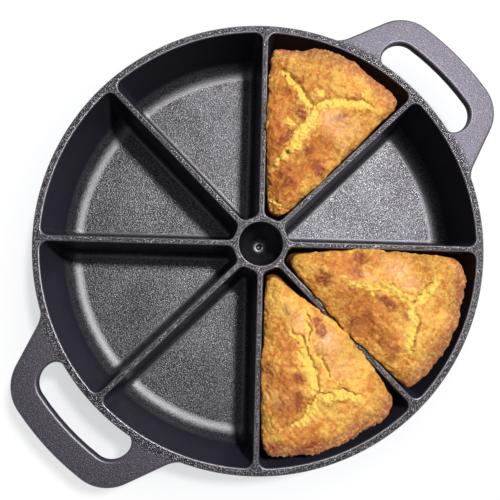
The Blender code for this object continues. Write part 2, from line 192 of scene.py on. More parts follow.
def repeated(mesh: bpy.types.Mesh, turns: Iterable[float]) -> None:
    """Adds copies of a mesh to itself, each turned about the pan's axis.

    Args:
        mesh: The mesh.
        turns: The turn of each copy.
    """
    shape = bmesh.new()
    for turn in turns:
        copy = mesh.copy()
        copy.transform(Matrix.Rotation(turn, 4, 'Z'))
        shape.from_mesh(copy)
        bpy.data.meshes.remove(copy)
    shape.to_mesh(mesh)
    shape.free()


def new_object(name: str, data: bpy.types.ID) -> bpy.types.Object:
    """Puts a mesh, curve, lamp or camera into the scene.

    Args:
        name: The object's name.
        data: The mesh, curve, lamp or camera.

    Returns:
        The object.
    """
    obj = bpy.data.objects.new(name, data)
    bpy.context.scene.collection.objects.link(obj)
    return obj


def finished_mesh(obj: bpy.types.Object) -> bpy.types.Mesh:
    """The mesh that an object's curve or modifiers give, with points that coincide welded.

    Args:
        obj: The object.

    Returns:
        A mesh of its own.
    """
    bpy.context.view_layer.update()
    mesh = bpy.data.meshes.new_from_object(obj.evaluated_get(bpy.context.evaluated_depsgraph_get()))
    shape = bmesh.new()
    shape.from_mesh(mesh)
    bmesh.ops.remove_doubles(shape, verts=shape.verts, dist=WELD)
    bmesh.ops.recalc_face_normals(shape, faces=shape.faces)
    shape.to_mesh(mesh)
    shape.free()
    return mesh


def rows(mesh: bpy.types.Mesh, name: str) -> Array:
    """Three numbers that a mesh holds for each of its points.

    Args:
        mesh: The mesh.
        name: What the numbers are, "co" for the points' places or "normal".

    Returns:
        The numbers, one row a point.
    """
    values = np.empty(len(mesh.vertices) * 3, np.float32)
    mesh.vertices.foreach_get(name, values)
    return values.reshape(-1, 3).astype(float)


def turned(name: str, profile: Outline, facets: int) -> bpy.types.Object:
    """A solid turned about Z.

    Args:
        name: The object's name.
        profile: Its radius and height at each point, from top to bottom.
        facets: How many steps the turn takes.

    Returns:
        The object, with its turn as a modifier.
    """
    mesh = bpy.data.meshes.new(name)
    mesh.from_pydata([(radius, 0, height) for radius, height in profile],
                     [(i, i + 1) for i in range(len(profile) - 1)], [])
    obj = new_object(name, mesh)
    screw = obj.modifiers.new("turn", 'SCREW')
    screw.steps = screw.render_steps = facets
    screw.use_merge_vertices = True
    screw.merge_threshold = WELD
    return obj


@dataclass(frozen=True)
class Noise:
    """Soft random patches: their size, how many finer layers they have and how strong, and their bend."""

    size: float
    detail: float = 3
    roughness: float = 0.5
    warp: float = 0


class Ink:
    """Shader nodes of a material or a world, laid down one at a time."""

    def __init__(self, owner: bpy.types.Material | bpy.types.World) -> None:
        """Turns the owner's nodes on, and keeps the place that patterns are laid out by.

        Args:
            owner: What the nodes belong to.
        """
        owner.use_nodes = True
        self.tree = owner.node_tree
        self.coordinates = self.tree.nodes.new("ShaderNodeTexCoord").outputs
        self.place = self.coordinates["Object"]

    def add(self, kind: str, inputs: dict[int | str, Any] | None = None, **settings: Any) -> bpy.types.Node:
        """Adds one node.

        Args:
            kind: Its type, without the word ShaderNode.
            inputs: What goes into its sockets: an output of another node, or a value.
            settings: Its own settings.

        Returns:
            The node.
        """
        node = self.tree.nodes.new("ShaderNode" + kind)
        for key, value in settings.items():
            setattr(node, key, value)
        for key, value in (inputs or {}).items():
            self.feed(node, key, value)
        return node

    def feed(self, node: bpy.types.Node, key: int | str, value: Any) -> None:
        """Links an output to a node's socket, or sets the socket.

        Args:
            node: The node.
            key: The socket's name or place.
            value: The output or the value.
        """
        if isinstance(value, bpy.types.NodeSocket):
            self.tree.links.new(value, node.inputs[key])
        else:
            node.inputs[key].default_value = value

    def noise(self, noise: Noise) -> bpy.types.NodeSocket:
        """Soft random patches.

        Args:
            noise: Which patches.

        Returns:
            The output, 0 to 1.
        """
        node = self.add("TexNoise", {"Vector": self.place, "Scale": 1 / noise.size, "Detail": noise.detail,
                                     "Roughness": noise.roughness, "Distortion": noise.warp})
        return node.outputs[0]

    def cells(self, size: float) -> bpy.types.NodeSocket:
        """Distances in a pattern of random cells with soft borders, for grains and crumbs.

        Args:
            size: How large the cells are.

        Returns:
            The distance, about 0 to 1.
        """
        return self.add("TexVoronoi", {"Vector": self.place, "Scale": 1 / size, "Smoothness": CELL_SOFTNESS},
                        feature='SMOOTH_F1').outputs["Distance"]

    def ramp(self, amount: bpy.types.NodeSocket, *stops: tuple[float, Colour]) -> bpy.types.NodeSocket:
        """Colours an amount.

        Args:
            amount: The amount.
            stops: Places from 0 to 1, each with its colour.

        Returns:
            The colour.
        """
        node = self.add("ValToRGB", {"Fac": amount})
        elements = node.color_ramp.elements
        while len(elements) < len(stops):
            elements.new(0.5)
        for element, (place, colour) in zip(elements, stops):
            element.position = place
            element.color = colour
        return node.outputs["Color"]

    def between(self, amount: bpy.types.NodeSocket, low: float, high: float,
                first: float = 0.0, last: float = 1.0) -> bpy.types.NodeSocket:
        """Stretches an amount from one range to another, and holds it there.

        Args:
            amount: The amount.
            low: Where the first range starts.
            high: Where it ends.
            first: Where the second range starts.
            last: Where it ends.

        Returns:
            The new amount.
        """
        node = self.add("MapRange", {"Value": amount, "From Min": low, "From Max": high,
                                     "To Min": first, "To Max": last})
        return node.outputs["Result"]

    def maths(self, operation: str, first: Any, second: Any = 0.0) -> bpy.types.NodeSocket:
        """One sum, product or the like.

        Args:
            operation: Its name, as Blender has it.
            first: The first number or output.
            second: The second one.

        Returns:
            The result.
        """
        return self.add("Math", {0: first, 1: second}, operation=operation).outputs[0]

    def times(self, first: Any, second: Any) -> bpy.types.NodeSocket:
        """Two amounts, multiplied."""
        return self.maths('MULTIPLY', first, second)

    def plus(self, first: Any, second: Any) -> bpy.types.NodeSocket:
        """Two amounts, added."""
        return self.maths('ADD', first, second)

    def faded(self, amount: Any, mask: Any, share: float) -> bpy.types.NodeSocket:
        """An amount, of which only a share is left where a mask is full."""
        return self.times(amount, self.between(mask, 0, 1, 1, share))

    def mix(self, amount: Any, under: Any, over: Any, how: str = 'MIX') -> bpy.types.NodeSocket:
        """Lays one colour over another.

        Args:
            amount: How much of the upper one shows.
            under: The lower colour.
            over: The upper colour.
            how: The way they mix, as Blender names it.

        Returns:
            The colour.
        """
        node = self.add("Mix", {0: amount, 6: under, 7: over}, data_type='RGBA', blend_type=how)
        return node.outputs[2]

    def mask(self, name: str) -> bpy.types.NodeSocket:
        """A number that the mesh holds at each of its points."""
        return self.add("Attribute", attribute_name=name).outputs["Fac"]

    def bump(self, height: Any, distance: float, strength: Any,
             under: bpy.types.NodeSocket | None = None) -> bpy.types.NodeSocket:
        """Fine relief.

        Args:
            height: The relief, 0 to 1.
            distance: How high 1 stands.
            strength: How much of it shows.
            under: Relief that it lies on.

        Returns:
            The bent surface normal.
        """
        node = self.add("Bump", {"Height": height, "Distance": distance, "Strength": strength})
        if under is not None:
            self.feed(node, "Normal", under)
        return node.outputs["Normal"]

    def finish(self, **sockets: Any) -> None:
        """Sets the sockets of a material's shader.

        Args:
            sockets: Their names, with _ for a space, and what goes into them.
        """
        shader = self.tree.nodes["Principled BSDF"]
        for name, value in sockets.items():
            self.feed(shader, name.replace("_", " "), value)


@dataclass(frozen=True)
class SeasonedIron:
    """Cast iron with its sand grain, under a thin baked film of oil.

    A slope tells how level the surface is, 1 when it lies flat, where a mask starts and where it is
    full. The handles' span is measured from the rim's radius, the bowl's from the hub's radius and
    the top's from the rim's top. Every other span is the part of a pattern that is used.
    """

    dark: Colour = (0.052, 0.049, 0.055, 1)
    pale: Colour = (0.270, 0.263, 0.287, 1)
    # Painted shade: this darker, bluer colour is laid on every steep wall.
    wall: Colour = (0.027, 0.025, 0.038, 1)
    # Painted highlight: this paler colour is laid on the floors' fillets, where the lamp's reflection falls.
    arc: Colour = (0.190, 0.184, 0.198, 1)
    land_dark: Colour = (0.040, 0.037, 0.041, 1)
    land_pale: Colour = (0.360, 0.342, 0.362, 1)
    handle: Colour = (0.142, 0.129, 0.160, 1)
    # Painted highlight: this paler colour is laid on the rounded top edges, weaker on the handles.
    edge_sheen: Colour = (0.30, 0.29, 0.31, 1)
    # Painted shade: this colour is multiplied into the bowl's sloping inside to darken it.
    bowl: Colour = (0.32, 0.30, 0.30, 1)
    arc_highlight_cover: float = 0.7
    handle_cover: float = 0.75
    edge_sheen_cover: float = 0.5
    metal: float = 0.88
    grain: float = 0.78 * MM
    fine_grain: Noise = Noise(0.62 * MM, detail=2, roughness=0.6)
    grain_height: float = 0.17 * MM
    arc_grain: float = 0.5
    handle_grain: float = 0.45
    land_grain: float = 1.7
    wall_grain: float = 0.25
    fine_share: float = 0.5
    patches: Noise = Noise(30 * MM, detail=4)
    patch_tone: float = 0.1
    gloss_patches: Noise = Noise(2.5 * MM)
    shine: float = 0.33
    dull: float = 0.39
    arc_shine: float = 0.47
    land_shine: float = 0.33
    handle_shine: float = 0.50
    edge_sheen_shine: float = 0.38
    gloss: float = 0.5
    wall_gloss: float = 0.12
    handle_edge_sheen: float = 0.2
    handle_span: Span = (-1 * MM, 3 * MM)
    bowl_shade_span: Span = (-2.5 * MM, -3.5 * MM)
    top_span: Span = (-1.4 * MM, -1.0 * MM)
    wall_slope: Span = (0.75, 0.25)
    arc_slopes: tuple[Span, Span] = ((0.999, 0.985), (0.75, 0.92))
    land_slope: Span = (0.97, 0.995)
    edge_sheen_slopes: tuple[Span, Span] = ((0.99, 0.93), (0.2, 0.4))
    bowl_shade_slope: Span = (0.9, 0.6)
    grain_slope: Span = (0.3, 0.95)
    cell_span: Span = (0.1, 0.7)
    fine_span: Span = (0.36, 0.64)
    patch_span: Span = (0.35, 0.65)
    tone_span: Span = (0.3, 0.85)
    speckle_span: Span = (0.42, 0.76)

    def material(self, pocket: "PocketSizes") -> bpy.types.Material:
        """The material: a strong grain on level surfaces, smoother walls darkened with painted shade, paler
        top edges and fillet arcs with a painted highlight, and painted shade in the bowl.

        Args:
            pocket: The pan's sizes, for the height of its top and where its handles start.

        Returns:
            The material.
        """
        material = bpy.data.materials.new("seasoned_iron")
        ink = Ink(material)
        normals = ink.add("NewGeometry").outputs
        level, soft_level = (
            ink.maths('ABSOLUTE', ink.add("SeparateXYZ", {0: normals[name]}).outputs["Z"])
            for name in ("True Normal", "Normal"))
        height = ink.add("SeparateXYZ", {0: ink.place}).outputs["Z"]
        flat = ink.add("VectorMath", {0: ink.place, 1: (1, 1, 0)}, operation='MULTIPLY').outputs[0]
        radius = ink.add("VectorMath", {0: flat}, operation='LENGTH').outputs["Value"]
        handles = ink.between(radius, *(pocket.rim_radius + shift for shift in self.handle_span))
        bowl = ink.between(radius, *(pocket.hub_radius + shift for shift in self.bowl_shade_span))
        high = ink.between(height, *(pocket.height + shift for shift in self.top_span))
        sloped = ink.between(soft_level, *self.wall_slope)
        # The fillets' mask sets their own roughness and grain, and a painted highlight.
        highlight_arcs = ink.times(*(ink.between(soft_level, *slope) for slope in self.arc_slopes))
        land = ink.times(high, ink.between(level, *self.land_slope))
        # Mask of the painted highlight along the rounded top edges.
        edge_sheen = high
        for slope in self.edge_sheen_slopes:
            edge_sheen = ink.times(edge_sheen, ink.between(level, *slope))
        edge_sheen = ink.faded(edge_sheen, handles, self.handle_edge_sheen)

        grains = ink.between(ink.cells(self.grain), *self.cell_span, 1, 0)
        fine = ink.between(ink.noise(self.fine_grain), *self.fine_span, 0, self.fine_share)
        grain = ink.plus(ink.times(grains, 1 - self.fine_share), fine)
        strength = ink.between(level, *self.grain_slope, self.wall_grain, 1.0)
        for where, share in ((highlight_arcs, self.arc_grain), (handles, self.handle_grain), (land, self.land_grain)):
            strength = ink.faded(strength, where, share)

        patches = ink.between(ink.noise(self.patches), *self.patch_span, -self.patch_tone, self.patch_tone)
        colour = ink.mix(ink.plus(patches, ink.between(grain, *self.tone_span)), self.dark, self.pale)
        speckled = ink.mix(ink.between(grain, *self.speckle_span), self.land_dark, self.land_pale)
        colour = ink.mix(land, colour, speckled)
        colour = ink.mix(ink.times(handles, self.handle_cover), colour, self.handle)
        # Painted highlight: the fillets take the paler arc colour.
        colour = ink.mix(ink.times(highlight_arcs, self.arc_highlight_cover), colour, self.arc)
        # Painted shade: steep walls take the darker wall colour.
        colour = ink.mix(sloped, colour, self.wall)
        # Painted shade: the bowl's sloping inside is darkened.
        colour = ink.mix(ink.times(bowl, ink.between(soft_level, *self.bowl_shade_slope)), colour, self.bowl,
                         'MULTIPLY')
        # Painted highlight: the rounded top edges take the paler colour.
        colour = ink.mix(ink.times(edge_sheen, self.edge_sheen_cover), colour, self.edge_sheen)

        shine = ink.between(ink.noise(self.gloss_patches), *self.patch_span, self.shine, self.dull)
        for where, own_shine in ((highlight_arcs, self.arc_shine), (land, self.land_shine),
                                 (handles, self.handle_shine), (edge_sheen, self.edge_sheen_shine)):
            shine = ink.add("Mix", {0: where, 2: shine, 3: own_shine}).outputs[0]
        ink.finish(Base_Color=colour, Metallic=ink.between(sloped, 0, 1, self.metal, 0),
                   Specular_IOR_Level=ink.between(sloped, 0, 1, self.gloss, self.wall_gloss),
                   Roughness=shine, Normal=ink.bump(grain, self.grain_height, strength))
        return material


@dataclass(frozen=True)
class Cornbread:
    """Baked cornbread: a golden crust with browned spots, and open yellow crumb in its splits.

    A tone is how far a pattern shifts the crust from gold towards rust. A break is a part of the
    mottle, and how much of a mask is left at its start and at its end.
    """

    gold: Colour = rgb(246, 192, 90)
    amber: Colour = rgb(218, 136, 52)
    rust: Colour = rgb(190, 100, 36)
    brown: Colour = rgb(152, 66, 22)
    # Painted sheen: the glossy crust patches take this paler pink colour; their gloss itself is real.
    gloss_and_sheen: Colour = rgb(230, 162, 98)
    crumb: Colour = rgb(255, 216, 104)
    # Painted shade: this deeper colour fills the crumb's pits and the creases.
    crumb_pit_shade: Colour = rgb(250, 184, 62)
    # Painted shade: this dark brown is laid along the splits' sunken lines.
    crack_shade: Colour = rgb(162, 98, 24)
    rim: Colour = rgb(176, 104, 66)
    side: Colour = rgb(150, 84, 36)
    broad: Noise = Noise(8 * MM, roughness=0.6, warp=0.6)
    mottle: Noise = Noise(2.2 * MM, detail=4, roughness=0.65, warp=0.5)
    fine: Noise = Noise(0.8 * MM, roughness=0.65)
    broad_span: Span = (0.35, 0.65)
    mottle_span: Span = (0.38, 0.62)
    broad_tone: float = 0.21
    mottle_tone: float = 0.18
    fine_tone: float = 0.08
    # Painted shade: how far the creases turn the crust towards rust.
    crease_shade_tone: float = 0.2
    gold_until: float = 0.12
    amber_at: float = 0.55
    gloss_and_sheen_break: tuple[float, ...] = (0.4, 0.58, 0.35, 1)
    rim_break: tuple[float, ...] = (0.36, 0.56, 0.3, 1)
    spot_break: tuple[float, ...] = (0.36, 0.58, 0.5, 1.1)
    pits: float = 1.2 * MM
    pit_span: Span = (0.5, 0.9)
    pit_height: float = 0.35 * MM
    # Painted shade: how much of the pits' colour the creases take.
    crease_shade_pits: float = 0.4
    wrinkles: Noise = Noise(1.3 * MM, detail=4, roughness=0.62, warp=0.9)
    wrinkle_height: float = 1.45 * MM
    glossy_wrinkles: float = 0.55
    crumb_wrinkles: float = 0.5
    spot_gloss: float = 0.5
    shine: float = 0.36
    dull: float = 0.58
    coat: float = 0.25
    coat_shine: float = 0.34
    glow: float = 0.12
    glow_reach: tuple[float, float, float] = (1.2 * MM, 0.6 * MM, 0.25 * MM)

    def material(self) -> bpy.types.Material:
        """The material, which reads the masks that each wedge's mesh holds.

        Returns:
            The material.
        """
        material = bpy.data.materials.new("cornbread")
        ink = Ink(material)
        mottle = ink.noise(self.mottle)
        spot, crumb, crease_shade = ink.mask("spot"), ink.mask("crumb"), ink.mask("crease_shade")
        tone = ink.mask("tone")
        for pattern, span, change in ((ink.noise(self.broad), self.broad_span, self.broad_tone),
                                      (mottle, self.mottle_span, self.mottle_tone),
                                      (ink.noise(self.fine), self.mottle_span, self.fine_tone)):
            tone = ink.plus(tone, ink.between(pattern, *span, -change, change))
        # Painted shade: the crust turns towards rust in the creases.
        tone = ink.plus(tone, ink.times(crease_shade, self.crease_shade_tone))
        crust = ink.ramp(tone, (self.gold_until, self.gold), (self.amber_at, self.amber), (1.0, self.rust))
        gloss_and_sheen, browned, spotted = (
            ink.times(ink.mask(name), ink.between(mottle, *broken)) for name, broken in
            (("gloss_and_sheen", self.gloss_and_sheen_break), ("browned", self.rim_break), ("spot", self.spot_break)))
        # The glossy patches' pale pink is painted sheen; the rim's browning, the side crust and the spots are
        # the crust's own colour.
        for where, own_colour in ((gloss_and_sheen, self.gloss_and_sheen), (browned, self.rim), (ink.mask("edge"), self.side),
                                  (spotted, self.brown)):
            crust = ink.mix(where, crust, own_colour)
        pits = ink.cells(self.pits)
        # Painted shade in the crumb's pits and in the creases.
        pit_shade = ink.maths('MAXIMUM', ink.times(crease_shade, self.crease_shade_pits), ink.between(pits, *self.pit_span))
        colour = ink.mix(crumb, crust, ink.mix(pit_shade, self.crumb, self.crumb_pit_shade))
        # Painted shade along the splits' sunken lines.
        colour = ink.mix(ink.mask("crack_shade"), colour, self.crack_shade)

        gloss = ink.maths('MAXIMUM', ink.times(spot, self.spot_gloss), ink.mask("gloss_and_sheen"))
        strength = ink.faded(ink.mask("coarse"), gloss, self.glossy_wrinkles)
        strength = ink.faded(strength, crumb, self.crumb_wrinkles)
        relief = ink.bump(ink.noise(self.wrinkles), self.wrinkle_height, strength)
        ink.finish(Base_Color=colour, Roughness=ink.between(gloss, 0, 1, self.dull, self.shine),
                   Normal=ink.bump(pits, self.pit_height, crumb, relief),
                   Coat_Weight=ink.times(gloss_and_sheen, self.coat), Coat_Roughness=self.coat_shine,
                   Subsurface_Weight=self.glow, Subsurface_Radius=self.glow_reach, Subsurface_Scale=1.0)
        return material


@dataclass(frozen=True)
class PocketSizes:
    """The sizes of the round pan and its pockets, which the breads baked in them share."""

    count: int = 8
    depth: float = 0.038
    rim_radius: float = 0.130
    rim_width: float = 0.0043
    floor_thickness: float = 0.0045
    edge: float = 0.0007
    corner: float = 0.0045
    tip: float = 0.0043
    fillet: float = 0.004
    outer_fillet: float = 0.011
    smallest_corner: float = 0.0008
    divider_width: float = 0.0032
    divider_draft: float = radians(5)
    outer_draft: float = radians(8.3)
    hub_radius: float = 0.0159
    arc_steps: int = 24
    corner_steps: int = 8
    fillet_steps: int = 12
    wall_rings: tuple[float, ...] = (0.3, 0.6)

    @property
    def height(self) -> float:
        """Height of the rim's top above the surface that the pan stands on."""
        return self.depth + self.floor_thickness

    @property
    def pitch(self) -> float:
        """The turn from one pocket to the next."""
        return 2 * pi / self.count

    @property
    def radius(self) -> float:
        """Radius of the pockets' outer ends at the rim's top."""
        return self.rim_radius - self.rim_width

    def outline(self, half_divider: float, outer: float, inner: float, corner: float, tip: float) -> Outline:
        """Outline of a wedge whose middle line is +X, between two spokes one pitch apart.

        Args:
            half_divider: How far its sides stay from the spokes.
            outer: Radius of its outer arc.
            inner: Radius of the hub that its inner end clears.
            corner: Radius of its two outer corners.
            tip: Radius of its inner end.

        Returns:
            The outline.
        """
        half_pitch = self.pitch / 2
        corner_reach = outer - corner
        corner_turn = half_pitch - asin((half_divider + corner) / corner_reach)
        centre = polar(corner_reach, corner_turn)
        half = arc((0, 0), outer, 0, corner_turn, self.arc_steps // 2)
        half += arc(centre, corner, corner_turn, half_pitch + pi / 2, self.corner_steps, (False, True))
        full_round = (inner * sin(half_pitch) - half_divider) / (1 - sin(half_pitch))
        tip = max(min(tip, full_round), self.smallest_corner)
        reach = (half_divider + tip) / (inner + tip)
        tip_turn = max(half_pitch - asin(min(reach, 1)), 0)
        tip_centre = polar((half_divider + tip) / sin(half_pitch - tip_turn), tip_turn)
        last_step = 1 - 0.5 / self.corner_steps
        tip_end = half_pitch + pi / 2 + (pi / 2 - half_pitch + tip_turn) * last_step
        half += arc(tip_centre, tip, half_pitch + pi / 2, tip_end, self.corner_steps - 1)
        return mirrored(half)

    def drawn_in(self, depth: float, draft: float, fillet: float) -> float:
        """How far a pocket's wall has moved in at a depth, with its rounded top and floor fillet.

        Args:
            depth: Depth below the rim's top.
            draft: The wall's slope.
            fillet: Radius that rounds the wall into the floor.

        Returns:
            The distance.
        """
        wall = depth * tan(draft)
        if depth < self.edge:
            return wall - self.edge + sqrt(self.edge ** 2 - (self.edge - max(depth, 0)) ** 2)
        centre_depth = self.depth - fillet
        if depth > centre_depth + fillet * sin(draft):
            centre = centre_depth * tan(draft) + fillet / cos(draft)
            return centre - sqrt(max(fillet ** 2 - (depth - centre_depth) ** 2, 0))
        return wall

    def side_in(self, depth: float) -> float:
        """How far a pocket's side along a divider has moved in at a depth."""
        return self.drawn_in(depth, self.divider_draft, self.fillet)

    def outer_in(self, depth: float) -> float:
        """How far a pocket's outer wall has moved in at a depth."""
        return self.drawn_in(depth, self.outer_draft, self.outer_fillet)

    def section(self, depth: float, gap: float = 0.0, shrink: float = 0.0) -> Outline:
        """The pocket's outline at a depth.

        Args:
            depth: Depth below the rim's top.
            gap: How much smaller it is all round.
            shrink: How much shorter it is at the outside.

        Returns:
            The outline.
        """
        side = self.side_in(depth)
        rounding = side - depth * tan(self.divider_draft) + gap
        return self.outline(self.divider_width / 2 + side + gap,
                            self.radius - self.outer_in(depth) - gap - shrink,
                            self.hub_radius + side + gap,
                            max(self.corner - rounding, self.smallest_corner), self.tip)

    def fillet_depths(self) -> list[float]:
        """Depths of the rings that round a pocket's walls into its floor.

        Returns:
            The depths, from the top down.
        """
        start = self.depth - self.outer_fillet
        turn = (pi / 2 - self.outer_draft) / self.fillet_steps
        return [start + self.outer_fillet * sin(self.outer_draft + turn * i)
                for i in range(self.fillet_steps + 1)]


@dataclass
class PanCasting:
    """The iron casting: rim, pockets, hub with its bowl, and two loop handles, all in one piece."""

    iron: SeasonedIron
    pocket: PocketSizes
    rim_edge: float = 0.0008
    foot_round: float = 0.015
    hub_wall: float = 0.0033
    bowl_depth: float = 0.025
    bowl_bottom: float = 0.002
    bowl_roundness: float = 1.7
    dimple: float = 0.0019
    valley_height: float = 0.0145
    valley_width: float = 0.0052
    valley_draft: float = radians(9)
    valley_foot_round: float = 0.0075
    ceiling_round: float = 0.0025
    ceiling_flat: float = 0.2
    cup_corner: float = 0.0088
    cup_crossing: float = 0.00022
    recess_radius: float = 0.0145
    recess_round: float = 0.004
    slot_width: float = 0.0192
    slot_bite: float = 0.0004
    slot_end_angle: float = radians(9)
    slot_end_fullness: float = 0.6
    slot_inner_fullness: float = 0.34
    grip_width: float = 0.0154
    shoulder_width: float = 0.013
    handle_taper: float = radians(19.6)
    root_round: float = 0.017
    handle_thickness: float = 0.0054
    handle_edge: float = 0.0016
    handle_edge_steps: int = 3
    handle_overlap: float = 0.010
    handle_drop: float = 0.00003
    rim_facets: int = 192
    hub_facets: int = 72
    bowl_steps: int = 18
    handle_step: float = radians(4)
    reach: float = 0.004
    sharpest: float = radians(38)

    def wall_radius(self, height: float) -> float:
        """Radius of the outer wall at a height, with its rounded foot."""
        straight = self.pocket.rim_radius - (self.pocket.height - height) * tan(self.pocket.outer_draft)
        return straight - self.foot_draw_in(height, self.pocket.outer_draft, self.foot_round)

    @staticmethod
    def foot_draw_in(height: float, draft: float, rounding: float) -> float:
        """How far a wall is drawn in by the foot's rounded edge.

        Args:
            height: Height above the foot.
            draft: The wall's slope.
            rounding: The edge's radius.

        Returns:
            The distance.
        """
        if height >= rounding * (1 - sin(draft)):
            return 0
        corner = rounding / cos(draft) - rounding * tan(draft) + height * tan(draft)
        return corner - sqrt(rounding ** 2 - (rounding - height) ** 2)

    def foot_heights(self, draft: float, rounding: float) -> list[float]:
        """Heights of the rings that round a foot's edge.

        Args:
            draft: The wall's slope.
            rounding: The edge's radius.

        Returns:
            The heights, from the foot up.
        """
        steps = self.pocket.fillet_steps
        turn = (pi / 2 - draft) / steps
        return [rounding * (1 - cos(turn * i)) for i in range(steps + 1)]

    def body(self) -> bpy.types.Object:
        """The solid round body, before anything is cut out of it.

        Returns:
            The object.
        """
        height, radius, edge = self.pocket.height, self.pocket.rim_radius, self.rim_edge
        profile = [(0, height)]
        profile += [(radius - edge + edge * sin(turn), height - edge + edge * cos(turn))
                    for turn in quarter(self.pocket.fillet_steps)]
        profile += [(self.wall_radius(level), level)
                    for level in reversed(self.foot_heights(self.pocket.outer_draft, self.foot_round))]
        return turned("pan", profile + [(0, 0)], self.rim_facets)

    def pockets(self) -> bpy.types.Object:
        """The eight pockets, as a solid to cut with.

        Returns:
            The object.
        """
        pocket = self.pocket
        depths = [pocket.edge * (1 - cos(turn)) for turn in quarter(pocket.fillet_steps // 2)]
        depths += [pocket.depth * share for share in pocket.wall_rings] + pocket.fillet_depths()
        sections = [(pocket.section(0), pocket.height + self.reach)]
        sections += [(pocket.section(depth), pocket.height - depth) for depth in depths]
        mesh = loft(sections, "pockets")
        repeated(mesh, [pocket.pitch * (i + 0.5) for i in range(pocket.count)])
        return new_object("pockets", mesh)

    def bowl(self) -> bpy.types.Object:
        """The hub's bowl, as a solid to cut with: steep at its mouth, with a dimple in its bottom.

        Returns:
            The object.
        """
        height, edge = self.pocket.height, self.pocket.edge
        radius = self.pocket.hub_radius - self.hub_wall
        profile = [(0, height + self.reach), (radius + edge, height + self.reach)]
        profile += [(radius + edge * (1 - sin(turn)), height - edge * (1 - cos(turn)))
                    for turn in quarter(self.pocket.fillet_steps // 2)]
        for turn in quarter(self.bowl_steps)[1:]:
            width = max(cos(turn), 0) ** (2 / self.bowl_roundness)
            depth = self.bowl_depth * sin(turn) ** (2 / self.bowl_roundness)
            if depth > edge:
                profile.append((self.bowl_bottom + (radius - self.bowl_bottom) * width, height - depth))
        profile += [(self.dimple * cos(turn), height - self.bowl_depth - self.dimple * sin(turn))
                    for turn in quarter(self.pocket.fillet_steps // 2)]
        return turned("bowl", profile, self.hub_facets)

    def recess(self) -> bpy.types.Object:
        """The hollow under the hub, as a solid to cut with.

        Returns:
            The object.
        """
        ceiling = self.pocket.height - self.bowl_depth - self.pocket.floor_thickness
        draft, rounding = self.pocket.divider_draft, self.recess_round
        profile = [(0, ceiling)]
        profile += [(self.recess_radius - ceiling * tan(draft) - rounding * (1 - sin(turn)),
                     ceiling - rounding * (1 - cos(turn))) for turn in quarter(self.pocket.fillet_steps)]
        wall = self.recess_radius
        profile += [(wall - level * tan(draft) + self.foot_draw_in(level, draft, rounding), level)
                    for level in reversed(self.foot_heights(draft, rounding))]
        profile += [(profile[-1][0], -self.reach), (0, -self.reach)]
        return turned("recess", profile, self.hub_facets)

    def valley_outline(self, height: float) -> Outline:
        """Outline of the gap between two neighbouring cups, under a divider that runs along +X.

        Args:
            height: Height above the foot.

        Returns:
            The outline.
        """
        inset = self.foot_draw_in(height, self.valley_draft, self.valley_foot_round)
        half_width = self.valley_width / 2 - height * tan(self.valley_draft) + inset
        ceiling = max((height - self.valley_height + self.ceiling_round) / self.ceiling_round, 0)
        half_width *= max(sqrt(max(1 - ceiling ** 2, 0)), self.ceiling_flat)
        corner = max(self.cup_corner - inset, self.pocket.smallest_corner)
        centre_y = half_width + corner
        centre_x = sqrt((self.wall_radius(height) - corner + self.cup_crossing) ** 2 - centre_y ** 2)
        half = [(self.recess_radius - self.reach / 2, half_width)]
        half += arc((centre_x, centre_y), corner, -pi / 2, atan2(centre_y, centre_x),
                    self.pocket.corner_steps)
        half += [(self.pocket.rim_radius + self.reach, half[-1][1])]
        return mirrored(half[::-1])

    def valleys(self, first: int) -> bpy.types.Object:
        """Every other valley between the cups, as a solid to cut with.

        Args:
            first: Which valley it starts at.

        Returns:
            The object.
        """
        ceiling = [self.valley_height - self.ceiling_round * (1 - sin(turn))
                   for turn in quarter(self.pocket.fillet_steps // 2)]
        heights = self.foot_heights(self.valley_draft, self.valley_foot_round)
        heights += [height for height in self.foot_heights(self.pocket.outer_draft, self.foot_round)
                    if heights[-1] < height < ceiling[0]]
        heights += ceiling
        sections = [(self.valley_outline(0), -self.reach)]
        sections += [(self.valley_outline(height), height) for height in heights]
        mesh = loft(sections, "valleys")
        repeated(mesh, [self.pocket.pitch * i for i in range(first, self.pocket.count, 2)])
        return new_object("valleys", mesh)

    def steps_for(self, turn: float) -> int:
        """How many straight steps a turn on a handle takes."""
        return max(2, ceil(abs(turn) / self.handle_step))

    def handle_outline(self) -> Outline:
        """Outline of a loop handle on +X: grip, rounded shoulders, tapered sides, hollow roots.

        Returns:
            The outline.
        """
        inner_radius = self.pocket.rim_radius - self.slot_bite
        outermost = inner_radius + self.slot_width + self.grip_width
        corner = self.slot_width * self.slot_end_fullness + self.shoulder_width
        reach = outermost - corner
        end, taper = self.slot_end_angle, self.handle_taper
        shoulder = Vector(polar(reach, end))
        start = shoulder + Vector((sin(taper), cos(taper))) * (corner + self.root_round)
        along = Vector((-cos(taper), sin(taper)))
        ahead = start.dot(along)
        circle = inner_radius + self.root_round
        root = start + along * (-ahead - sqrt(ahead ** 2 - start.length_squared + circle ** 2))
        side_turn, root_turn = pi / 2 - taper, atan2(root.y, root.x)
        inner = self.pocket.rim_radius - self.handle_overlap
        half = arc((0, 0), outermost, 0, end, self.steps_for(end))
        half += arc(tuple(shoulder), corner, end, side_turn, self.steps_for(side_turn - end), (False, True))
        half += arc(tuple(root), self.root_round, side_turn + pi, root_turn + pi,
                    self.steps_for(root_turn - side_turn))
        half += [polar(inner, root_turn), (inner * cos(root_turn), 0)]
        return mirrored(half)

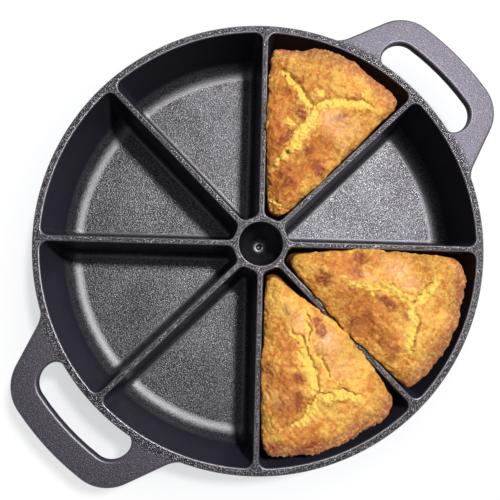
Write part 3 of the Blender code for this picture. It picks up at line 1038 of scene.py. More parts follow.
    def slot_outline(self) -> Outline:
        """Outline of a handle's slot: the grip's inner arc, two round ends, the rim's circle.

        Returns:
            The outline.
        """
        inner = self.pocket.rim_radius - self.slot_bite
        outer = inner + self.slot_width
        end_round = self.slot_width * self.slot_end_fullness
        inner_round = self.slot_width * self.slot_inner_fullness
        angle = self.slot_end_angle
        end_reach, corner_reach, between = outer - end_round, inner + inner_round, end_round - inner_round
        end = polar(end_reach, angle)
        swing = (corner_reach ** 2 + end_reach ** 2 - between ** 2) / (2 * corner_reach * end_reach)
        corner_turn = angle + acos(swing)
        corner = polar(corner_reach, corner_turn)
        meeting = atan2(corner[1] - end[1], corner[0] - end[0])
        half = arc((0, 0), outer, 0, angle, self.steps_for(angle))
        half += arc(end, end_round, angle, meeting, self.steps_for(meeting - angle), (False, True))
        half += arc(corner, inner_round, meeting, corner_turn + pi,
                    self.steps_for(corner_turn + pi - meeting) // 2, (False, True))
        half += arc((0, 0), inner, corner_turn, 0, self.steps_for(corner_turn), (False, True))
        return mirrored(half)

    def handle(self, turn: float) -> bpy.types.Object:
        """One loop handle as a plate with its slot and rounded edges.

        Args:
            turn: Where it is round the pan.

        Returns:
            The object.
        """
        curve = bpy.data.curves.new("handle", 'CURVE')
        curve.dimensions = '2D'
        curve.fill_mode = 'BOTH'
        curve.extrude = self.handle_thickness / 2 - self.handle_edge
        curve.bevel_depth = self.handle_edge
        curve.bevel_resolution = self.handle_edge_steps
        curve.offset = -self.handle_edge
        for outline in (self.handle_outline(), self.slot_outline()):
            spline = curve.splines.new('POLY')
            spline.points.add(len(outline) - 1)
            for point, (x, y) in zip(spline.points, outline):
                point.co = (x, y, 0, 1)
            spline.use_cyclic_u = True
        guide = new_object("handle", curve)
        slab = new_object("handle", finished_mesh(guide))
        bpy.data.objects.remove(guide)
        middle = self.pocket.height - self.handle_drop - self.handle_thickness / 2
        slab.matrix_world = Matrix.Rotation(turn, 4, 'Z') @ Matrix.Translation((0, 0, middle))
        return slab

    def build(self) -> bpy.types.Object:
        """Joins the body and handles, cuts the pockets, bowl and underside, and dresses the casting.

        Returns:
            The casting.
        """
        rough = self.body()
        tools = [(self.handle(turn), 'UNION') for turn in (0, pi)]
        tools += [(tool, 'DIFFERENCE') for tool in
                  (self.pockets(), self.bowl(), self.recess(), self.valleys(0), self.valleys(1))]
        for tool, operation in tools:
            step = rough.modifiers.new(tool.name, 'BOOLEAN')
            step.operation, step.solver, step.object = operation, 'EXACT', tool
        mesh = finished_mesh(rough)
        for obj in [rough] + [tool for tool, _ in tools]:
            bpy.data.objects.remove(obj)
        mesh.name = "seasoned_casting"
        mesh.shade_smooth()
        mesh.set_sharp_from_angle(angle=self.sharpest)
        casting = new_object("seasoned_casting", mesh)
        weighted = casting.modifiers.new("even_shading", 'WEIGHTED_NORMAL')
        weighted.keep_sharp = True
        mesh.materials.clear()
        mesh.materials.append(self.iron.material(self.pocket))
        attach(casting, "pan")
        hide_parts("pan_casting")
        return casting


@dataclass(frozen=True)
class Patch:
    """An oval on a bread's crust: its middle, its radii, its turn and its strength."""

    x: float
    y: float
    long: float
    wide: float
    turn: float = 0.0
    strength: float = 1.0


@dataclass(frozen=True)
class Lumps:
    """A layer of random relief: its size and height in mm, its number, and its added height on crumb."""

    size: float
    height: float
    number: int
    on_crumb: float = 0.0


class Side(Enum):
    """The side of a split, on the way out along it, on which the crust overhangs."""

    LEFT = 1
    RIGHT = -1


@dataclass(frozen=True)
class Arm:
    """One arm of a split: a sunken line under an overhanging crust, darkened with painted shade, and open
    crumb beside it.

    Each point, from the middle out, has its place and how wide the crumb shows there, in mm.
    """

    points: tuple[tuple[float, float, float], ...]
    overhang: Side
    depth: float = 2.0


@dataclass(frozen=True)
class Tear:
    """How the splits are torn: widths in metres, heights and depths in mm."""

    step: float = 1.2 * MM
    jag: float = 0.9 * MM
    ragged: tuple[Lumps, ...] = (Lumps(3.4, 0.9, 20), Lumps(1.6, 0.6, 21))
    gaps: Lumps = Lumps(5, 0.65, 22)
    gap_span: Span = (-0.45, 0.05)
    least_dark: float = 0.35
    thickness: Lumps = Lumps(1.8, 0.40, 23)
    even_thickness: float = 0.42
    least_thickness: float = 0.15
    end_span: Span = (0.82, 1.0)
    least_width: float = 0.6 * MM
    wall_span: Span = (0.4 * MM, -0.2 * MM)
    shore_span: Span = (0.8, 1.1)
    floor_rise: float = 0.75
    lip_height: float = 0.55
    lip_width: float = 1.8 * MM
    crack_depth: float = 0.8
    width_for_depth: float = 1.4 * MM
    least_depth: float = 0.05


@dataclass
class CornbreadWedge:
    """One baked wedge: risen to its own outline, split along arms and browned in spots.

    The outline, the arms and the patches are in mm, with the wedge's middle along +X. The spans
    named for the sides, overhang, crust, brown and edge are heights above the pan's top.
    """

    node: str
    ride_on: str
    place: int
    outline: tuple[Point, ...]
    arms: tuple[Arm, ...]
    spots: tuple[Patch, ...]
    gloss_and_sheen_patches: tuple[Patch, ...]
    tones: tuple[Patch, ...]
    seed: int
    pocket: PocketSizes
    crust: bpy.types.Material
    base_tone: float = 0.27
    seat_gap: float = 0.0003
    side_gap: float = 0.0006
    shrink: float = 0.0048
    shoulder_depth: float = 0.002
    crown: float = 0.0116
    crown_flat: float = 0.0006
    crown_fullness: float = 0.4
    crown_corner: float = 0.003
    crown_steps: int = 16
    middle: float = 0.082
    swell: float = 0.0006
    directions: int = 180
    side_steps: int = 60
    voxel: float = 0.00062
    tear: Tear = Tear()
    waves: tuple[Lumps, ...] = (Lumps(16, 0.8, 0), Lumps(7, 0.55, 1))
    knobs: tuple[Lumps, ...] = (Lumps(4.2, 1.1, 2, 0.4), Lumps(2.1, 0.85, 3, 0.8),
                                Lumps(1.3, 0.35, 4, 0.55))
    knob_middle: float = 0.65
    coarse_parts: Lumps = Lumps(13, 0.55, 5)
    coarse_span: Span = (-0.35, 0.35)
    crumb_span: Span = (0.0, 0.5)
    least_coarse: float = 0.45
    least_knobs: float = 0.4
    coarse_knobs: float = 0.75
    hollows: tuple[Lumps, ...] = (Lumps(5, 0.3, 6), Lumps(2, 0.2, 7))
    drift: tuple[Lumps, ...] = (Lumps(3, 1.1, 8), Lumps(3, 1.1, 9))
    sides_span: Span = (-16 * MM, -1 * MM)
    overhang_span: Span = (0.3 * MM, 1.6 * MM)
    crust_span: Span = (-3.5 * MM, 1.5 * MM)
    brown_span: Span = (8.5 * MM, 4.5 * MM)
    brown_radii: Span = (106 * MM, 113 * MM)
    edge_span: Span = (0, -5 * MM)
    oval_span: Span = (0.35, 1.55)
    spot_gain: float = 1.5
    tone_gain: float = 0.7
    # Painted shade: creases are where the knob layers run low; this span and the shares set how much.
    crease_shade_span: Span = (0.0, 0.25)
    crease_shade_shares: Span = (0.65, 0.5)

    def shoulder(self) -> tuple[float, float, float]:
        """Where the crown starts: distance from the spoke, outer radius and inner radius.

        Returns:
            The three sizes.
        """
        pocket, depth = self.pocket, self.shoulder_depth
        shrink = self.shrink * (1 - depth / pocket.depth)
        side = pocket.side_in(depth) + self.side_gap
        outer = pocket.radius - pocket.outer_in(depth)
        return pocket.divider_width / 2 + side, outer - self.side_gap - shrink, pocket.hub_radius + side

    def crown_reach(self) -> float:
        """How far in from its edge the crown keeps rising.

        Returns:
            The distance.
        """
        half_divider, outer, _ = self.shoulder()
        half = sin(self.pocket.pitch / 2)
        return (outer * half - half_divider) / (1 + half) - self.crown_corner - self.crown_flat

    def blank(self) -> bpy.types.Mesh:
        """The smooth loaf, as an even net of small faces.

        Returns:
            The mesh, with the wedge's middle along +X.
        """
        lowest = self.pocket.floor_thickness + self.seat_gap
        sections: list[Section] = []
        for depth in reversed(self.pocket.fillet_depths()):
            shrink = self.shrink * (1 - depth / self.pocket.depth)
            sections.append((self.pocket.section(depth, self.side_gap, shrink),
                             max(self.pocket.height - depth, lowest)))
        half_divider, outer, inner = self.shoulder()
        reach = self.crown_reach()
        for i in range(self.crown_steps + 1):
            share = (i / self.crown_steps) ** 2
            inset = reach * share
            outline = self.pocket.outline(half_divider + inset, outer - inset, inner + inset,
                                          self.crown_corner, self.crown_corner)
            rise = self.crown * sin(pi / 2 * share) ** self.crown_fullness
            sections.append((outline, self.pocket.height - self.shoulder_depth + rise))
        guide = new_object("loaf", loft(sections, "loaf"))
        remesh = guide.modifiers.new("even_net", 'REMESH')
        remesh.mode = 'VOXEL'
        remesh.voxel_size = self.voxel
        mesh = finished_mesh(guide)
        bpy.data.objects.remove(guide)
        return mesh

    def reach_round(self, outline: Sequence[Point]) -> Array:
        """How far a closed outline is from the wedge's middle, in even directions all round.

        Args:
            outline: The outline, in metres.

        Returns:
            The distances.
        """
        corners = np.array(outline) - (self.middle, 0)
        steps = np.linspace(0, 1, self.side_steps, endpoint=False)[:, None]
        fine = np.concatenate([start + (end - start) * steps
                               for start, end in zip(corners, np.roll(corners, -1, axis=0))])
        return np.interp(self.turns(), np.arctan2(fine[:, 1], fine[:, 0]), np.hypot(fine[:, 0], fine[:, 1]),
                         period=2 * pi)

    def turns(self) -> Array:
        """Even directions all round."""
        return np.linspace(-pi, pi, self.directions, endpoint=False)

    def above_top(self, points: Array, span: Span) -> Array:
        """A soft step over the heights of a span above the pan's top."""
        return ease(points[:, 2], *(self.pocket.height + height for height in span))

    def lumps(self, points: Array, layer: Lumps) -> Array:
        """A layer of this bread's random relief, from -1 to 1."""
        return lumps(points, layer.size * MM, self.seed + layer.number)

    def relief(self, points: Array, layers: Sequence[Lumps]) -> Array:
        """Layers of this bread's random relief, one over the other, in mm."""
        return sum(self.lumps(points, layer) * layer.height for layer in layers)

    def spread(self, points: Array) -> Array:
        """Moves the loaf's sides from the pocket's outline to the wedge's own one.

        Args:
            points: The loaf's points.

        Returns:
            The moved points.
        """
        half_divider, outer, inner = self.shoulder()
        pocket = self.reach_round(self.pocket.outline(half_divider, outer, inner,
                                                      self.crown_corner, self.crown_corner))
        own = self.reach_round([(x * MM, y * MM) for x, y in self.outline]) + self.swell
        own = (np.roll(own, 1) + 2 * own + np.roll(own, -1)) / 4
        away = points[:, :2] - (self.middle, 0)
        factor = np.interp(np.arctan2(away[:, 1], away[:, 0]), self.turns(), own / pocket, period=2 * pi)
        share = np.where(factor < 1, self.above_top(points, self.sides_span),
                         self.above_top(points, self.overhang_span))
        moved = points.copy()
        moved[:, :2] += away * ((factor - 1) * share)[:, None]
        return moved

    def jagged(self, arm: Arm, number: int) -> Array:
        """An arm's line with small random corners.

        Args:
            arm: The arm.
            number: Which arm it is.

        Returns:
            Its points and the crumb's width at each, in metres.
        """
        path = np.array(arm.points) * MM
        lengths = np.concatenate([[0], np.cumsum(np.linalg.norm(np.diff(path[:, :2], axis=0), axis=1))])
        steps = np.arange(0, lengths[-1], self.tear.step)
        fine = np.column_stack([np.interp(steps, lengths, path[:, axis]) for axis in (0, 1, 2)])
        random = np.random.default_rng(self.seed * 10 + number)
        fine[1:-1, :2] += random.uniform(-self.tear.jag, self.tear.jag, (len(fine) - 2, 2))
        return fine

    @staticmethod
    def beside(line: Array, spots: Array) -> tuple[Array, Array]:
        """How far spots are from a line, and how far along it.

        Args:
            line: The line's points.
            spots: The spots, two numbers a row.

        Returns:
            The distance, positive to the left, and the share of the line's length.
        """
        line = line[:, :2]
        nearest = np.full(len(spots), np.inf)
        side, along = np.zeros(len(spots)), np.zeros(len(spots))
        for i, (start, end) in enumerate(zip(line, line[1:])):
            run = end - start
            share = np.clip((spots - start) @ run / (run @ run), 0, 1)
            away = spots - (start + share[:, None] * run)
            distance = np.hypot(away[:, 0], away[:, 1])
            closer = distance < nearest
            nearest[closer] = distance[closer]
            cross = run[0] * (spots[:, 1] - start[1]) - run[1] * (spots[:, 0] - start[0])
            side[closer] = np.sign(cross[closer])
            along[closer] = (i + share[closer]) / (len(line) - 1)
        return nearest * side, along

    def ovals(self, patches: Sequence[Patch], spots: Array) -> Array:
        """How strongly patches cover spots.

        Args:
            patches: The patches, in mm.
            spots: The spots, in metres.

        Returns:
            A share from 0 to 1 for each spot.
        """
        cover = np.zeros(len(spots))
        for patch in patches:
            x, y = spots[:, 0] - patch.x * MM, spots[:, 1] - patch.y * MM
            long = (x * cos(patch.turn) + y * sin(patch.turn)) / (patch.long * MM)
            wide = (y * cos(patch.turn) - x * sin(patch.turn)) / (patch.wide * MM)
            cover = np.maximum(cover, patch.strength * (1 - ease(np.hypot(long, wide), *self.oval_span)))
        return cover

    def split(self, points: Array) -> tuple[Array, Array, Array]:
        """How far the splits lower the crust, where crumb shows, and where painted shade darkens their sunken
        lines.

        Args:
            points: The loaf's points.

        Returns:
            The depth and the two shares for each point.
        """
        tear = self.tear
        lowered, crumb, crack_shade = (np.zeros(len(points)) for _ in range(3))
        ragged = self.relief(points, tear.ragged) * MM
        darkness = tear.least_dark + tear.gaps.height * ease(self.lumps(points, tear.gaps), *tear.gap_span)
        thick = tear.even_thickness + self.relief(points, [tear.thickness])
        thick = np.maximum(thick, tear.least_thickness) * MM
        for number, arm in enumerate(self.arms):
            line = self.jagged(arm, number)
            distance, along = self.beside(line, points[:, :2])
            distance = distance * arm.overhang.value
            fade = 1 - ease(along, *tear.end_span)
            width = np.interp(along, np.linspace(0, 1, len(line)), line[:, 2])
            width = np.maximum(width, tear.least_width)
            across = (ragged - distance) / width
            inside = ease(distance, *tear.wall_span)
            shown = inside * (1 - ease(across, *tear.shore_span)) * fade
            floor = 1 - tear.floor_rise * ease(across, 0.0, 1.0)
            lip = tear.lip_height * np.exp(-np.abs(distance) / tear.lip_width) * (1 - inside) * fade
            # The line's mask sinks the crust and also carries the painted shade along it.
            dark = np.exp(-(distance / thick) ** 2) * fade * darkness
            depth = np.minimum(arm.depth, width / tear.width_for_depth)
            sunk = depth * shown * floor + tear.crack_depth * dark - lip
            kept = np.where(lowered > tear.least_depth, lowered, np.minimum(sunk, lowered))
            lowered = np.where(sunk > lowered, sunk, kept)
            crumb = np.maximum(crumb, shown)
            crack_shade = np.maximum(crack_shade, dark)
        return lowered * MM, crumb, crack_shade

    def shape(self, mesh: bpy.types.Mesh) -> dict[str, Array]:
        """Gives the smooth loaf its own outline, splits and crust.

        Args:
            mesh: The loaf.

        Returns:
            The masks that the crust's material reads, by name, with a share for each point.
        """
        normals = rows(mesh, "normal")
        points = self.spread(rows(mesh, "co"))
        above = self.above_top(points, self.crust_span)
        lowered, crumb, crack_shade = self.split(points)
        crumb, crack_shade = crumb * above, crack_shade * above

        coarse = ease(self.lumps(points, self.coarse_parts), *self.coarse_span)
        coarse = self.least_coarse + self.coarse_parts.height * coarse
        coarse = np.maximum(coarse, ease(crumb, *self.crumb_span))
        heights = [np.abs(self.lumps(points, layer)) for layer in self.knobs]
        knobs = sum(height * (layer.height + layer.on_crumb * crumb)
                    for height, layer in zip(heights, self.knobs)) - self.knob_middle
        knobs *= self.least_knobs + self.coarse_knobs * coarse
        inward = -np.abs(self.relief(points, self.hollows))
        height = (self.relief(points, self.waves) + knobs) * above + inward * (1 - above)
        moved = points + normals * (height * MM)[:, None]
        moved[:, 2] -= lowered * above
        mesh.vertices.foreach_set("co", moved.astype(np.float32).ravel())

        drift = np.column_stack([self.relief(points, [layer]) for layer in self.drift])
        flat = points[:, :2] + drift * MM
        far = ease(np.hypot(points[:, 0], points[:, 1]), *self.brown_radii)
        # Painted shade in the creases, where the knobs run low.
        crease_shade = sum(share * (1 - ease(height, *self.crease_shade_span))
                   for share, height in zip(self.crease_shade_shares, heights))
        return {"crumb": crumb, "crack_shade": crack_shade, "coarse": coarse,
                "spot": np.minimum(self.spot_gain * self.ovals(self.spots, flat), 1) * above,
                "gloss_and_sheen": self.ovals(self.gloss_and_sheen_patches, flat) * above,
                "crease_shade": np.clip(crease_shade, 0, 1) * above,
                "browned": self.above_top(points, self.brown_span) * far,
                "edge": self.above_top(points, self.edge_span),
                "tone": self.base_tone + self.tone_gain * self.ovals(self.tones, flat)}

    def build(self) -> bpy.types.Object:
        """Shapes the loaf, holds its masks and dresses it.

        Returns:
            The wedge.
        """
        mesh = self.blank()
        for name, values in self.shape(mesh).items():
            layer = mesh.attributes.new(name, 'FLOAT', 'POINT')
            layer.data.foreach_set("value", values.astype(np.float32))
        mesh.transform(Matrix.Rotation(self.pocket.pitch * (self.place + 0.5), 4, 'Z'))
        mesh.shade_smooth()
        mesh.materials.clear()
        mesh.materials.append(self.crust)
        bread = new_object(f"baked_{self.node}", mesh)
        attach(bread, self.ride_on)
        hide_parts(self.node)
        return bread


@dataclass(frozen=True)
class Table:
    """The plain white table that the pan stands on."""

    size: float = 6.0
    drop: float = 0.0002
    white: float = 0.80
    seen: float = 0.26
    brightness: float = 1.05
    shade: Colour = (0.50, 0.51, 0.56, 1)
    shade_reach: float = 0.075
    shade_samples: int = 12

    def build(self) -> None:
        """Lays the table, which keeps the pan's shadow, is darkened near the pan with painted shade, and is
        white elsewhere.
        """
        half = self.size / 2
        mesh = bpy.data.meshes.new("table")
        mesh.from_pydata([(x * half, y * half, -self.drop) for x, y in ((-1, -1), (1, -1), (1, 1), (-1, 1))],
                         [], [(0, 1, 2, 3)])
        table = new_object("table", mesh)
        material = bpy.data.materials.new("table_white")
        ink = Ink(material)
        plain, lit = (ink.add("BsdfDiffuse", {"Color": (grey, grey, grey, 1)}).outputs[0]
                      for grey in (self.white, self.seen))
        # Painted shade: ambient occlusion darkens the glow towards the shade colour near the pan.
        nearby = ink.add("AmbientOcclusion", {"Distance": self.shade_reach},
                         samples=self.shade_samples).outputs["AO"]
        glow = ink.add("Emission", {"Color": ink.mix(nearby, self.shade, WHITE),
                                    "Strength": self.brightness - self.seen})
        both = ink.add("AddShader", {0: lit, 1: glow.outputs[0]}).outputs[0]
        rays = ink.add("LightPath").outputs
        seen = ink.maths('MAXIMUM', rays["Is Camera Ray"], rays["Is Glossy Ray"])
        seen = ink.maths('MAXIMUM', seen, rays["Is Transmission Ray"])
        blend = ink.add("MixShader", {0: seen, 1: plain, 2: both})
        ink.feed(ink.tree.nodes["Material Output"], "Surface", blend.outputs[0])
        ink.tree.nodes.remove(ink.tree.nodes["Principled BSDF"])
        mesh.materials.append(material)


@dataclass(frozen=True)
class Studio:
    """One soft lamp over the front handle, weak light all round, and the camera above the pan."""

    lamp_tilt: float = radians(25)
    lamp_distance: float = 1.2
    lamp_size: float = 0.14
    lamp_power: float = 16.0
    sky: Colour = (0.88, 0.93, 1.0, 1)
    fill: float = 0.28
    side_fill: float = 0.06
    fill_start: float = 0.35
    tilt_x: float = radians(-4.44)
    tilt_y: float = radians(1.93)
    roll: float = radians(43.6)
    eye: tuple[float, float, float] = (-6.31, -3.68, 300.0)
    lens: float = 37.64
    sensor: float = 36.0
    nearest: float = 0.01

    def lamp(self, rim_height: float) -> None:
        """Hangs the lamp, which looks at the middle of the pan's top.

        Args:
            rim_height: Height of the pan's rim.
        """
        spot = Vector((sin(self.lamp_tilt) * self.lamp_distance, 0,
                       cos(self.lamp_tilt) * self.lamp_distance + rim_height))
        data = bpy.data.lights.new("soft_lamp", 'AREA')
        data.shape = 'DISK'
        data.size = self.lamp_size
        data.energy = self.lamp_power
        lamp = new_object("soft_lamp", data)
        lamp.location = spot
        lamp.rotation_mode = 'QUATERNION'
        lamp.rotation_quaternion = (Vector((0, 0, rim_height)) - spot).to_track_quat('-Z', 'Y')

    def world(self) -> None:
        """Fills in weak light from above, and shows white to the camera and in level reflections."""
        world = bpy.data.worlds.new("studio")
        bpy.context.scene.world = world
        ink = Ink(world)
        height = ink.add("SeparateXYZ", {0: ink.coordinates["Generated"]}).outputs["Z"]
        light = ink.tree.nodes["Background"]
        ink.feed(light, "Color", self.sky)
        ink.feed(light, "Strength", ink.between(height, self.fill_start, 1.0, self.side_fill, self.fill))
        white = ink.add("Background", {"Color": WHITE})
        rays = ink.add("LightPath").outputs
        mirrored_rays = ink.maths('MAXIMUM', rays["Is Glossy Ray"], rays["Is Transmission Ray"])
        seen = ink.times(mirrored_rays, ink.between(height, self.fill_start, 0.0))
        seen = ink.maths('MAXIMUM', seen, rays["Is Camera Ray"])
        blend = ink.add("MixShader", {0: seen, 1: light.outputs[0], 2: white.outputs[0]})
        ink.feed(ink.tree.nodes["World Output"], "Surface", blend.outputs[0])

    def camera(self, rim_height: float) -> None:
        """Sets the camera, as fitted to the rim, the pockets' tops and their floors.

        Args:
            rim_height: Height of the pan's rim.
        """
        turned_by = (Matrix.Rotation(self.tilt_x, 3, 'X') @ Matrix.Rotation(self.tilt_y, 3, 'Y')
                     @ Matrix.Rotation(self.roll, 3, 'Z')).transposed()
        data = bpy.data.cameras.new("camera")
        data.lens = self.lens
        data.sensor_width = self.sensor
        data.clip_start = self.nearest
        camera = new_object("camera", data)
        camera.matrix_world = (Matrix.Translation((0, 0, rim_height)) @ turned_by.to_4x4()
                               @ Matrix.Translation(Vector(self.eye) * MM))
        bpy.context.scene.camera = camera

    def build(self, rim_height: float) -> None:
        """Sets the lamp, the world, the camera and how colours are shown.

        Args:
            rim_height: Height of the pan's rim, which the camera was fitted to.
        """
        self.lamp(rim_height)
        self.world()
        self.camera(rim_height)
        bpy.context.scene.view_settings.view_transform = 'Standard'


def bread_plans(pocket: PocketSizes, crust: bpy.types.Material) -> list[CornbreadWedge]:
    """The three wedges, with the splits, spots and tones that each one baked.

    Args:
        pocket: The pockets' sizes.
        crust: The crust's material.

    Returns:
        The wedges.
    """
    first = CornbreadWedge(
        "cornbread_wedge_1", "wedge_1", 0,
        outline=((18.8, -2.6), (19.4, 3.6), (32.3, 10.4), (44.5, 16.1), (62.7, 25.3), (75.5, 30.2),
                 (90.3, 34.4), (99.7, 37.1), (107.3, 39.0), (110.6, 36.0), (113.1, 27.4), (118.6, 17.2),
                 (120.7, 1.8), (121.5, -7.5), (118.9, -16.1), (112.7, -34.3), (109.6, -39.3),
                 (104.6, -39.9), (92.9, -34.4), (79.2, -29.2), (59.9, -22.7), (43.2, -15.3), (23.0, -6.6)),
        arms=(Arm(((84.3, 4.4, 2.4), (87.6, 10.2, 3.6), (92.1, 15.0, 4.2), (94.2, 20.2, 4.2),
                   (97.6, 28.9, 3.2), (94.2, 33.1, 2.0)), Side.RIGHT, 2.4),
              Arm(((84.3, 4.4, 3.2), (88.7, 1.3, 5.8), (91.8, -3.1, 6.4), (94.1, -7.9, 6.1),
                   (99.0, -19.5, 5.0), (100.0, -23.4, 4.4), (97.7, -28.0, 4.0), (92.9, -32.1, 2.5)),
                  Side.LEFT),
              Arm(((84.3, 4.4, 3.2), (79.9, 4.3, 4.5), (75.3, 4.8, 6.4), (69.7, 7.4, 7.7),
                   (64.1, 8.5, 7.4), (59.3, 7.9, 6.4), (53.4, 9.6, 5.1), (49.3, 10.6, 3.2),
                   (40.2, 11.6, 1.3)), Side.RIGHT, 1.4),
              Arm(((53.0, 7.5, 1.0), (55.0, 3.5, 1.2), (57.5, 1.0, 1.0), (58.0, -1.0, 0.8)), Side.RIGHT, 1.0),
              Arm(((27.1, 8.7, 1.0), (24.8, 2.7, 1.9), (23.6, -4.2, 1.3)), Side.LEFT, 1.4)),
        spots=(Patch(76.3, 9.2, 2.6, 5.0, -0.5), Patch(59.7, 12.2, 5.4, 2.6, -0.35),
               Patch(51.9, -12.8, 3.6, 4.8, -0.5), Patch(58.2, -2.6, 4.2, 2.9, 0, 0.65),
               Patch(37.8, -0.8, 3.0, 3.2, 0, 0.75), Patch(40.3, 4.9, 2.6, 2.9, 0, 0.6),
               Patch(65.8, -17.8, 1.6, 2.9, 0, 0.5), Patch(83.3, -11.1, 5.1, 1.9, -0.8, 0.45),
               Patch(100.1, -15.4, 1.3, 3.8, 0, 0.35), Patch(95.3, -1.6, 1.4, 4.5, 0, 0.35),
               Patch(94.9, 16.9, 3.8, 1.6, 0, 0.4)),
        gloss_and_sheen_patches=(Patch(79.0, -12.9, 8.0, 10.2), Patch(81.7, -6.0, 4.0, 4.6),
                 Patch(82.1, -23.0, 5.8, 5.8, 0, 0.7), Patch(70.9, -19.3, 2.8, 5.8, 0, 0.7)),
        tones=(Patch(77.6, 22.0, 17.0, 8.0, 0.3, 0.5), Patch(60, 18, 16, 6, 0.3, 0.6),
               Patch(38, 2, 14, 9, 0, 0.6), Patch(60, -8, 14, 8, 0, 0.45)),
        seed=3, pocket=pocket, crust=crust)
    second = CornbreadWedge(
        "cornbread_wedge_2", "wedge_2", 5,
        outline=((20.5, -3.5), (22.2, 1.9), (36.0, 9.4), (47.0, 16.4), (57.1, 23.1), (70.3, 28.4),
                 (84.3, 31.9), (95.8, 34.8), (107.7, 36.8), (111.2, 36.5), (116.1, 30.3), (117.9, 18.2),
                 (120.3, 2.2), (121.3, -11.6), (116.9, -26.2), (112.9, -37.2), (106.5, -39.9),
                 (93.6, -36.0), (77.5, -30.5), (61.5, -24.7), (49.4, -17.7), (33.6, -10.5), (24.1, -6.0)),
        arms=(Arm(((87.6, -1.0, 4.5), (81.6, 2.1, 5.5), (76.2, 2.8, 6.2), (70.6, 3.2, 6.9),
                   (65.7, 1.8, 5.5), (61.4, 2.0, 4.1), (56.9, 3.4, 2.8), (54.2, -1.8, 1.7),
                   (46.3, -1.6, 1.0)), Side.RIGHT, 2.4),
              Arm(((87.6, -1.0, 2.4), (90.2, 3.8, 3.8), (89.8, 8.3, 4.8), (90.7, 12.4, 5.2),
                   (94.1, 15.5, 4.5), (98.1, 21.2, 3.5), (100.2, 24.8, 2.1)), Side.LEFT, 2.4),
              Arm(((87.3, -1.7, 3.5), (90.7, -4.1, 4.8), (92.0, -7.9, 5.5), (93.6, -11.1, 5.2),
                   (97.0, -13.2, 4.1), (98.4, -21.3, 2.4), (99.7, -26.2, 1.0)), Side.RIGHT),
              Arm(((82.5, 8.2, 1.4), (76.0, 8.0, 1.9), (71.6, 7.5, 1.7), (66.8, 5.4, 1.2)), Side.RIGHT, 1.2),
              Arm(((60.0, 4.5, 1.5), (56.2, 7.0, 2.4), (51.0, 8.7, 2.6), (44.3, 10.2, 1.7)),
                  Side.RIGHT, 1.4)),
        spots=(Patch(55.4, 12.9, 5.8, 2.8), Patch(77.0, -7.8, 3.8, 3.1, 0, 0.6),
               Patch(66.2, -22.6, 4.1, 4.1, 0, 0.5), Patch(87.3, -12.6, 5.5, 3.5, 0, 0.55),
               Patch(88.0, -21.6, 3.1, 4.1, 0, 0.45), Patch(113.7, -15.8, 2.1, 5.5, 0, 0.7),
               Patch(108.3, -34.6, 2.4, 5.5, 0.3, 0.6), Patch(74.6, 8.4, 4.1, 1.4, 0, 0.5),
               Patch(39.7, 0.2, 4.1, 2.1, 0, 0.4), Patch(45.6, 2.3, 3.5, 2.8, 0, 0.3)),
        gloss_and_sheen_patches=(Patch(66.2, 14.1, 9.0, 6.0), Patch(48.9, 3.3, 5.5, 4.8, 0, 0.7),
                 Patch(80.8, 16.4, 4.1, 7.6, 0, 0.5), Patch(87.0, -20.5, 4.1, 5.5, 0, 0.6),
                 Patch(81.7, -25.0, 5.5, 4.1, 0, 0.6)),
        tones=(Patch(70, -16, 22.0, 9.0, -0.3, 0.45), Patch(88, -18, 10, 10, 0, 0.5),
               Patch(50, -8, 14, 5, 0.3, 0.35), Patch(103, -18, 13, 9, 0.6, 0.5)),
        seed=5, pocket=pocket, crust=crust, base_tone=0.2)
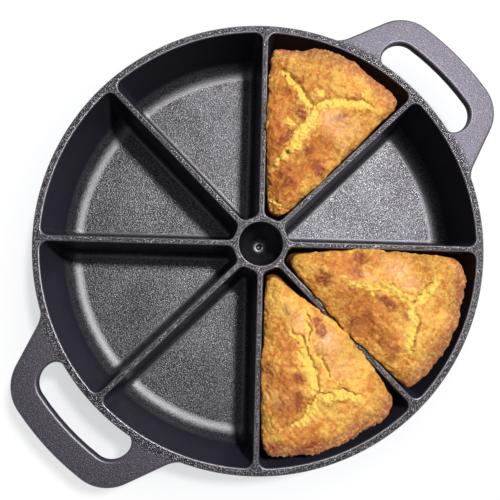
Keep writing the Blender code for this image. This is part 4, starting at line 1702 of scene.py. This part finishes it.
    third = CornbreadWedge(
        "cornbread_wedge_3", "wedge_3", 6,
        outline=((19.9, -2.6), (20.4, 1.3), (26.6, 5.9), (42.0, 13.5), (53.3, 20.1), (70.1, 26.4),
                 (86.8, 31.3), (103.1, 37.1), (110.3, 36.1), (115.5, 28.7), (119.4, 15.5), (122.6, 2.2),
                 (121.5, -7.9), (119.6, -19.6), (116.0, -30.6), (111.8, -38.2), (109.1, -40.5),
                 (103.6, -39.6), (88.3, -34.7), (73.3, -30.5), (58.3, -24.7), (43.7, -16.5), (23.4, -5.5)),
        arms=(Arm(((91.1, 3.2, 4.0), (87.2, 2.2, 4.6), (82.1, 2.1, 5.0), (77.9, 1.7, 5.3),
                   (73.6, 3.4, 4.6), (69.1, 2.1, 4.0), (65.9, -0.7, 3.6), (60.3, -1.1, 3.3),
                   (54.0, -1.7, 2.6), (50.0, -0.6, 2.0), (43.9, 1.8, 1.0)), Side.LEFT, 2.4),
              Arm(((90.0, 3.5, 2.0), (87.3, 3.7, 2.0), (81.8, 6.3, 2.6), (78.1, 8.3, 3.3),
                   (73.8, 8.2, 3.3), (68.6, 7.1, 2.0)), Side.RIGHT, 1.6),
              Arm(((91.1, 4.0, 3.3), (92.1, 9.4, 4.4), (93.9, 13.9, 4.4), (96.0, 17.7, 3.8),
                   (98.1, 23.3, 3.0), (101.4, 26.6, 1.6)), Side.LEFT, 1.6),
              Arm(((93.0, 1.3, 3.6), (96.2, -2.0, 5.0), (98.5, -4.9, 5.8), (99.0, -10.0, 5.8),
                   (99.3, -14.0, 4.6), (100.1, -18.3, 3.6), (101.0, -22.4, 3.0), (100.0, -28.0, 1.5)),
                  Side.LEFT)),
        spots=(Patch(76.9, -2.7, 5.6, 2.6, -0.25), Patch(39.6, -4.1, 5.0, 4.0, 0, 0.75),
               Patch(54.4, 14.5, 3.6, 5.3, 0, 0.65), Patch(55.7, 6.3, 4.0, 2.6, 0, 0.55),
               Patch(65.8, -20.8, 4.0, 4.0, 0, 0.55), Patch(69.6, -12.8, 3.3, 4.0, 0, 0.4),
               Patch(89.9, -4.5, 3.0, 3.3, 0, 0.45), Patch(92.4, -27.6, 4.3, 5.3, 0, 0.45),
               Patch(91.2, 25.7, 2.6, 2.6, 0, 0.35), Patch(85.4, -22.9, 4.0, 2.6, 0, 0.35)),
        gloss_and_sheen_patches=(Patch(75.2, 18.6, 9.3, 6.0), Patch(86.2, 13.3, 6.3, 4.6, 0, 0.7),
                 Patch(64.1, 7.1, 7.3, 1.7, 0, 0.6), Patch(66.1, -21.4, 4.6, 4.6, 0, 0.5)),
        tones=(Patch(72, -14, 24.0, 8.0, -0.3, 0.6), Patch(48, 6, 13, 8, 0, 0.5)),
        seed=8, pocket=pocket, crust=crust)
    return [first, second, third]


def main() -> None:
    """Builds the studio, the casting and the breads, and reports each piece."""
    logging.basicConfig(level=logging.INFO, format="%(name)s: %(message)s")
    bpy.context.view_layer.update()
    pocket = PocketSizes()
    Studio().build(pocket.height)
    Table().build()
    casting = PanCasting(SeasonedIron(), pocket).build()
    logger.info("%s: %d faces", casting.name, len(casting.data.polygons))
    for plan in bread_plans(pocket, Cornbread().material()):
        bread = plan.build()
        logger.info("%s: %d faces", bread.name, len(bread.data.polygons))


if __name__ == "__main__":
    main()
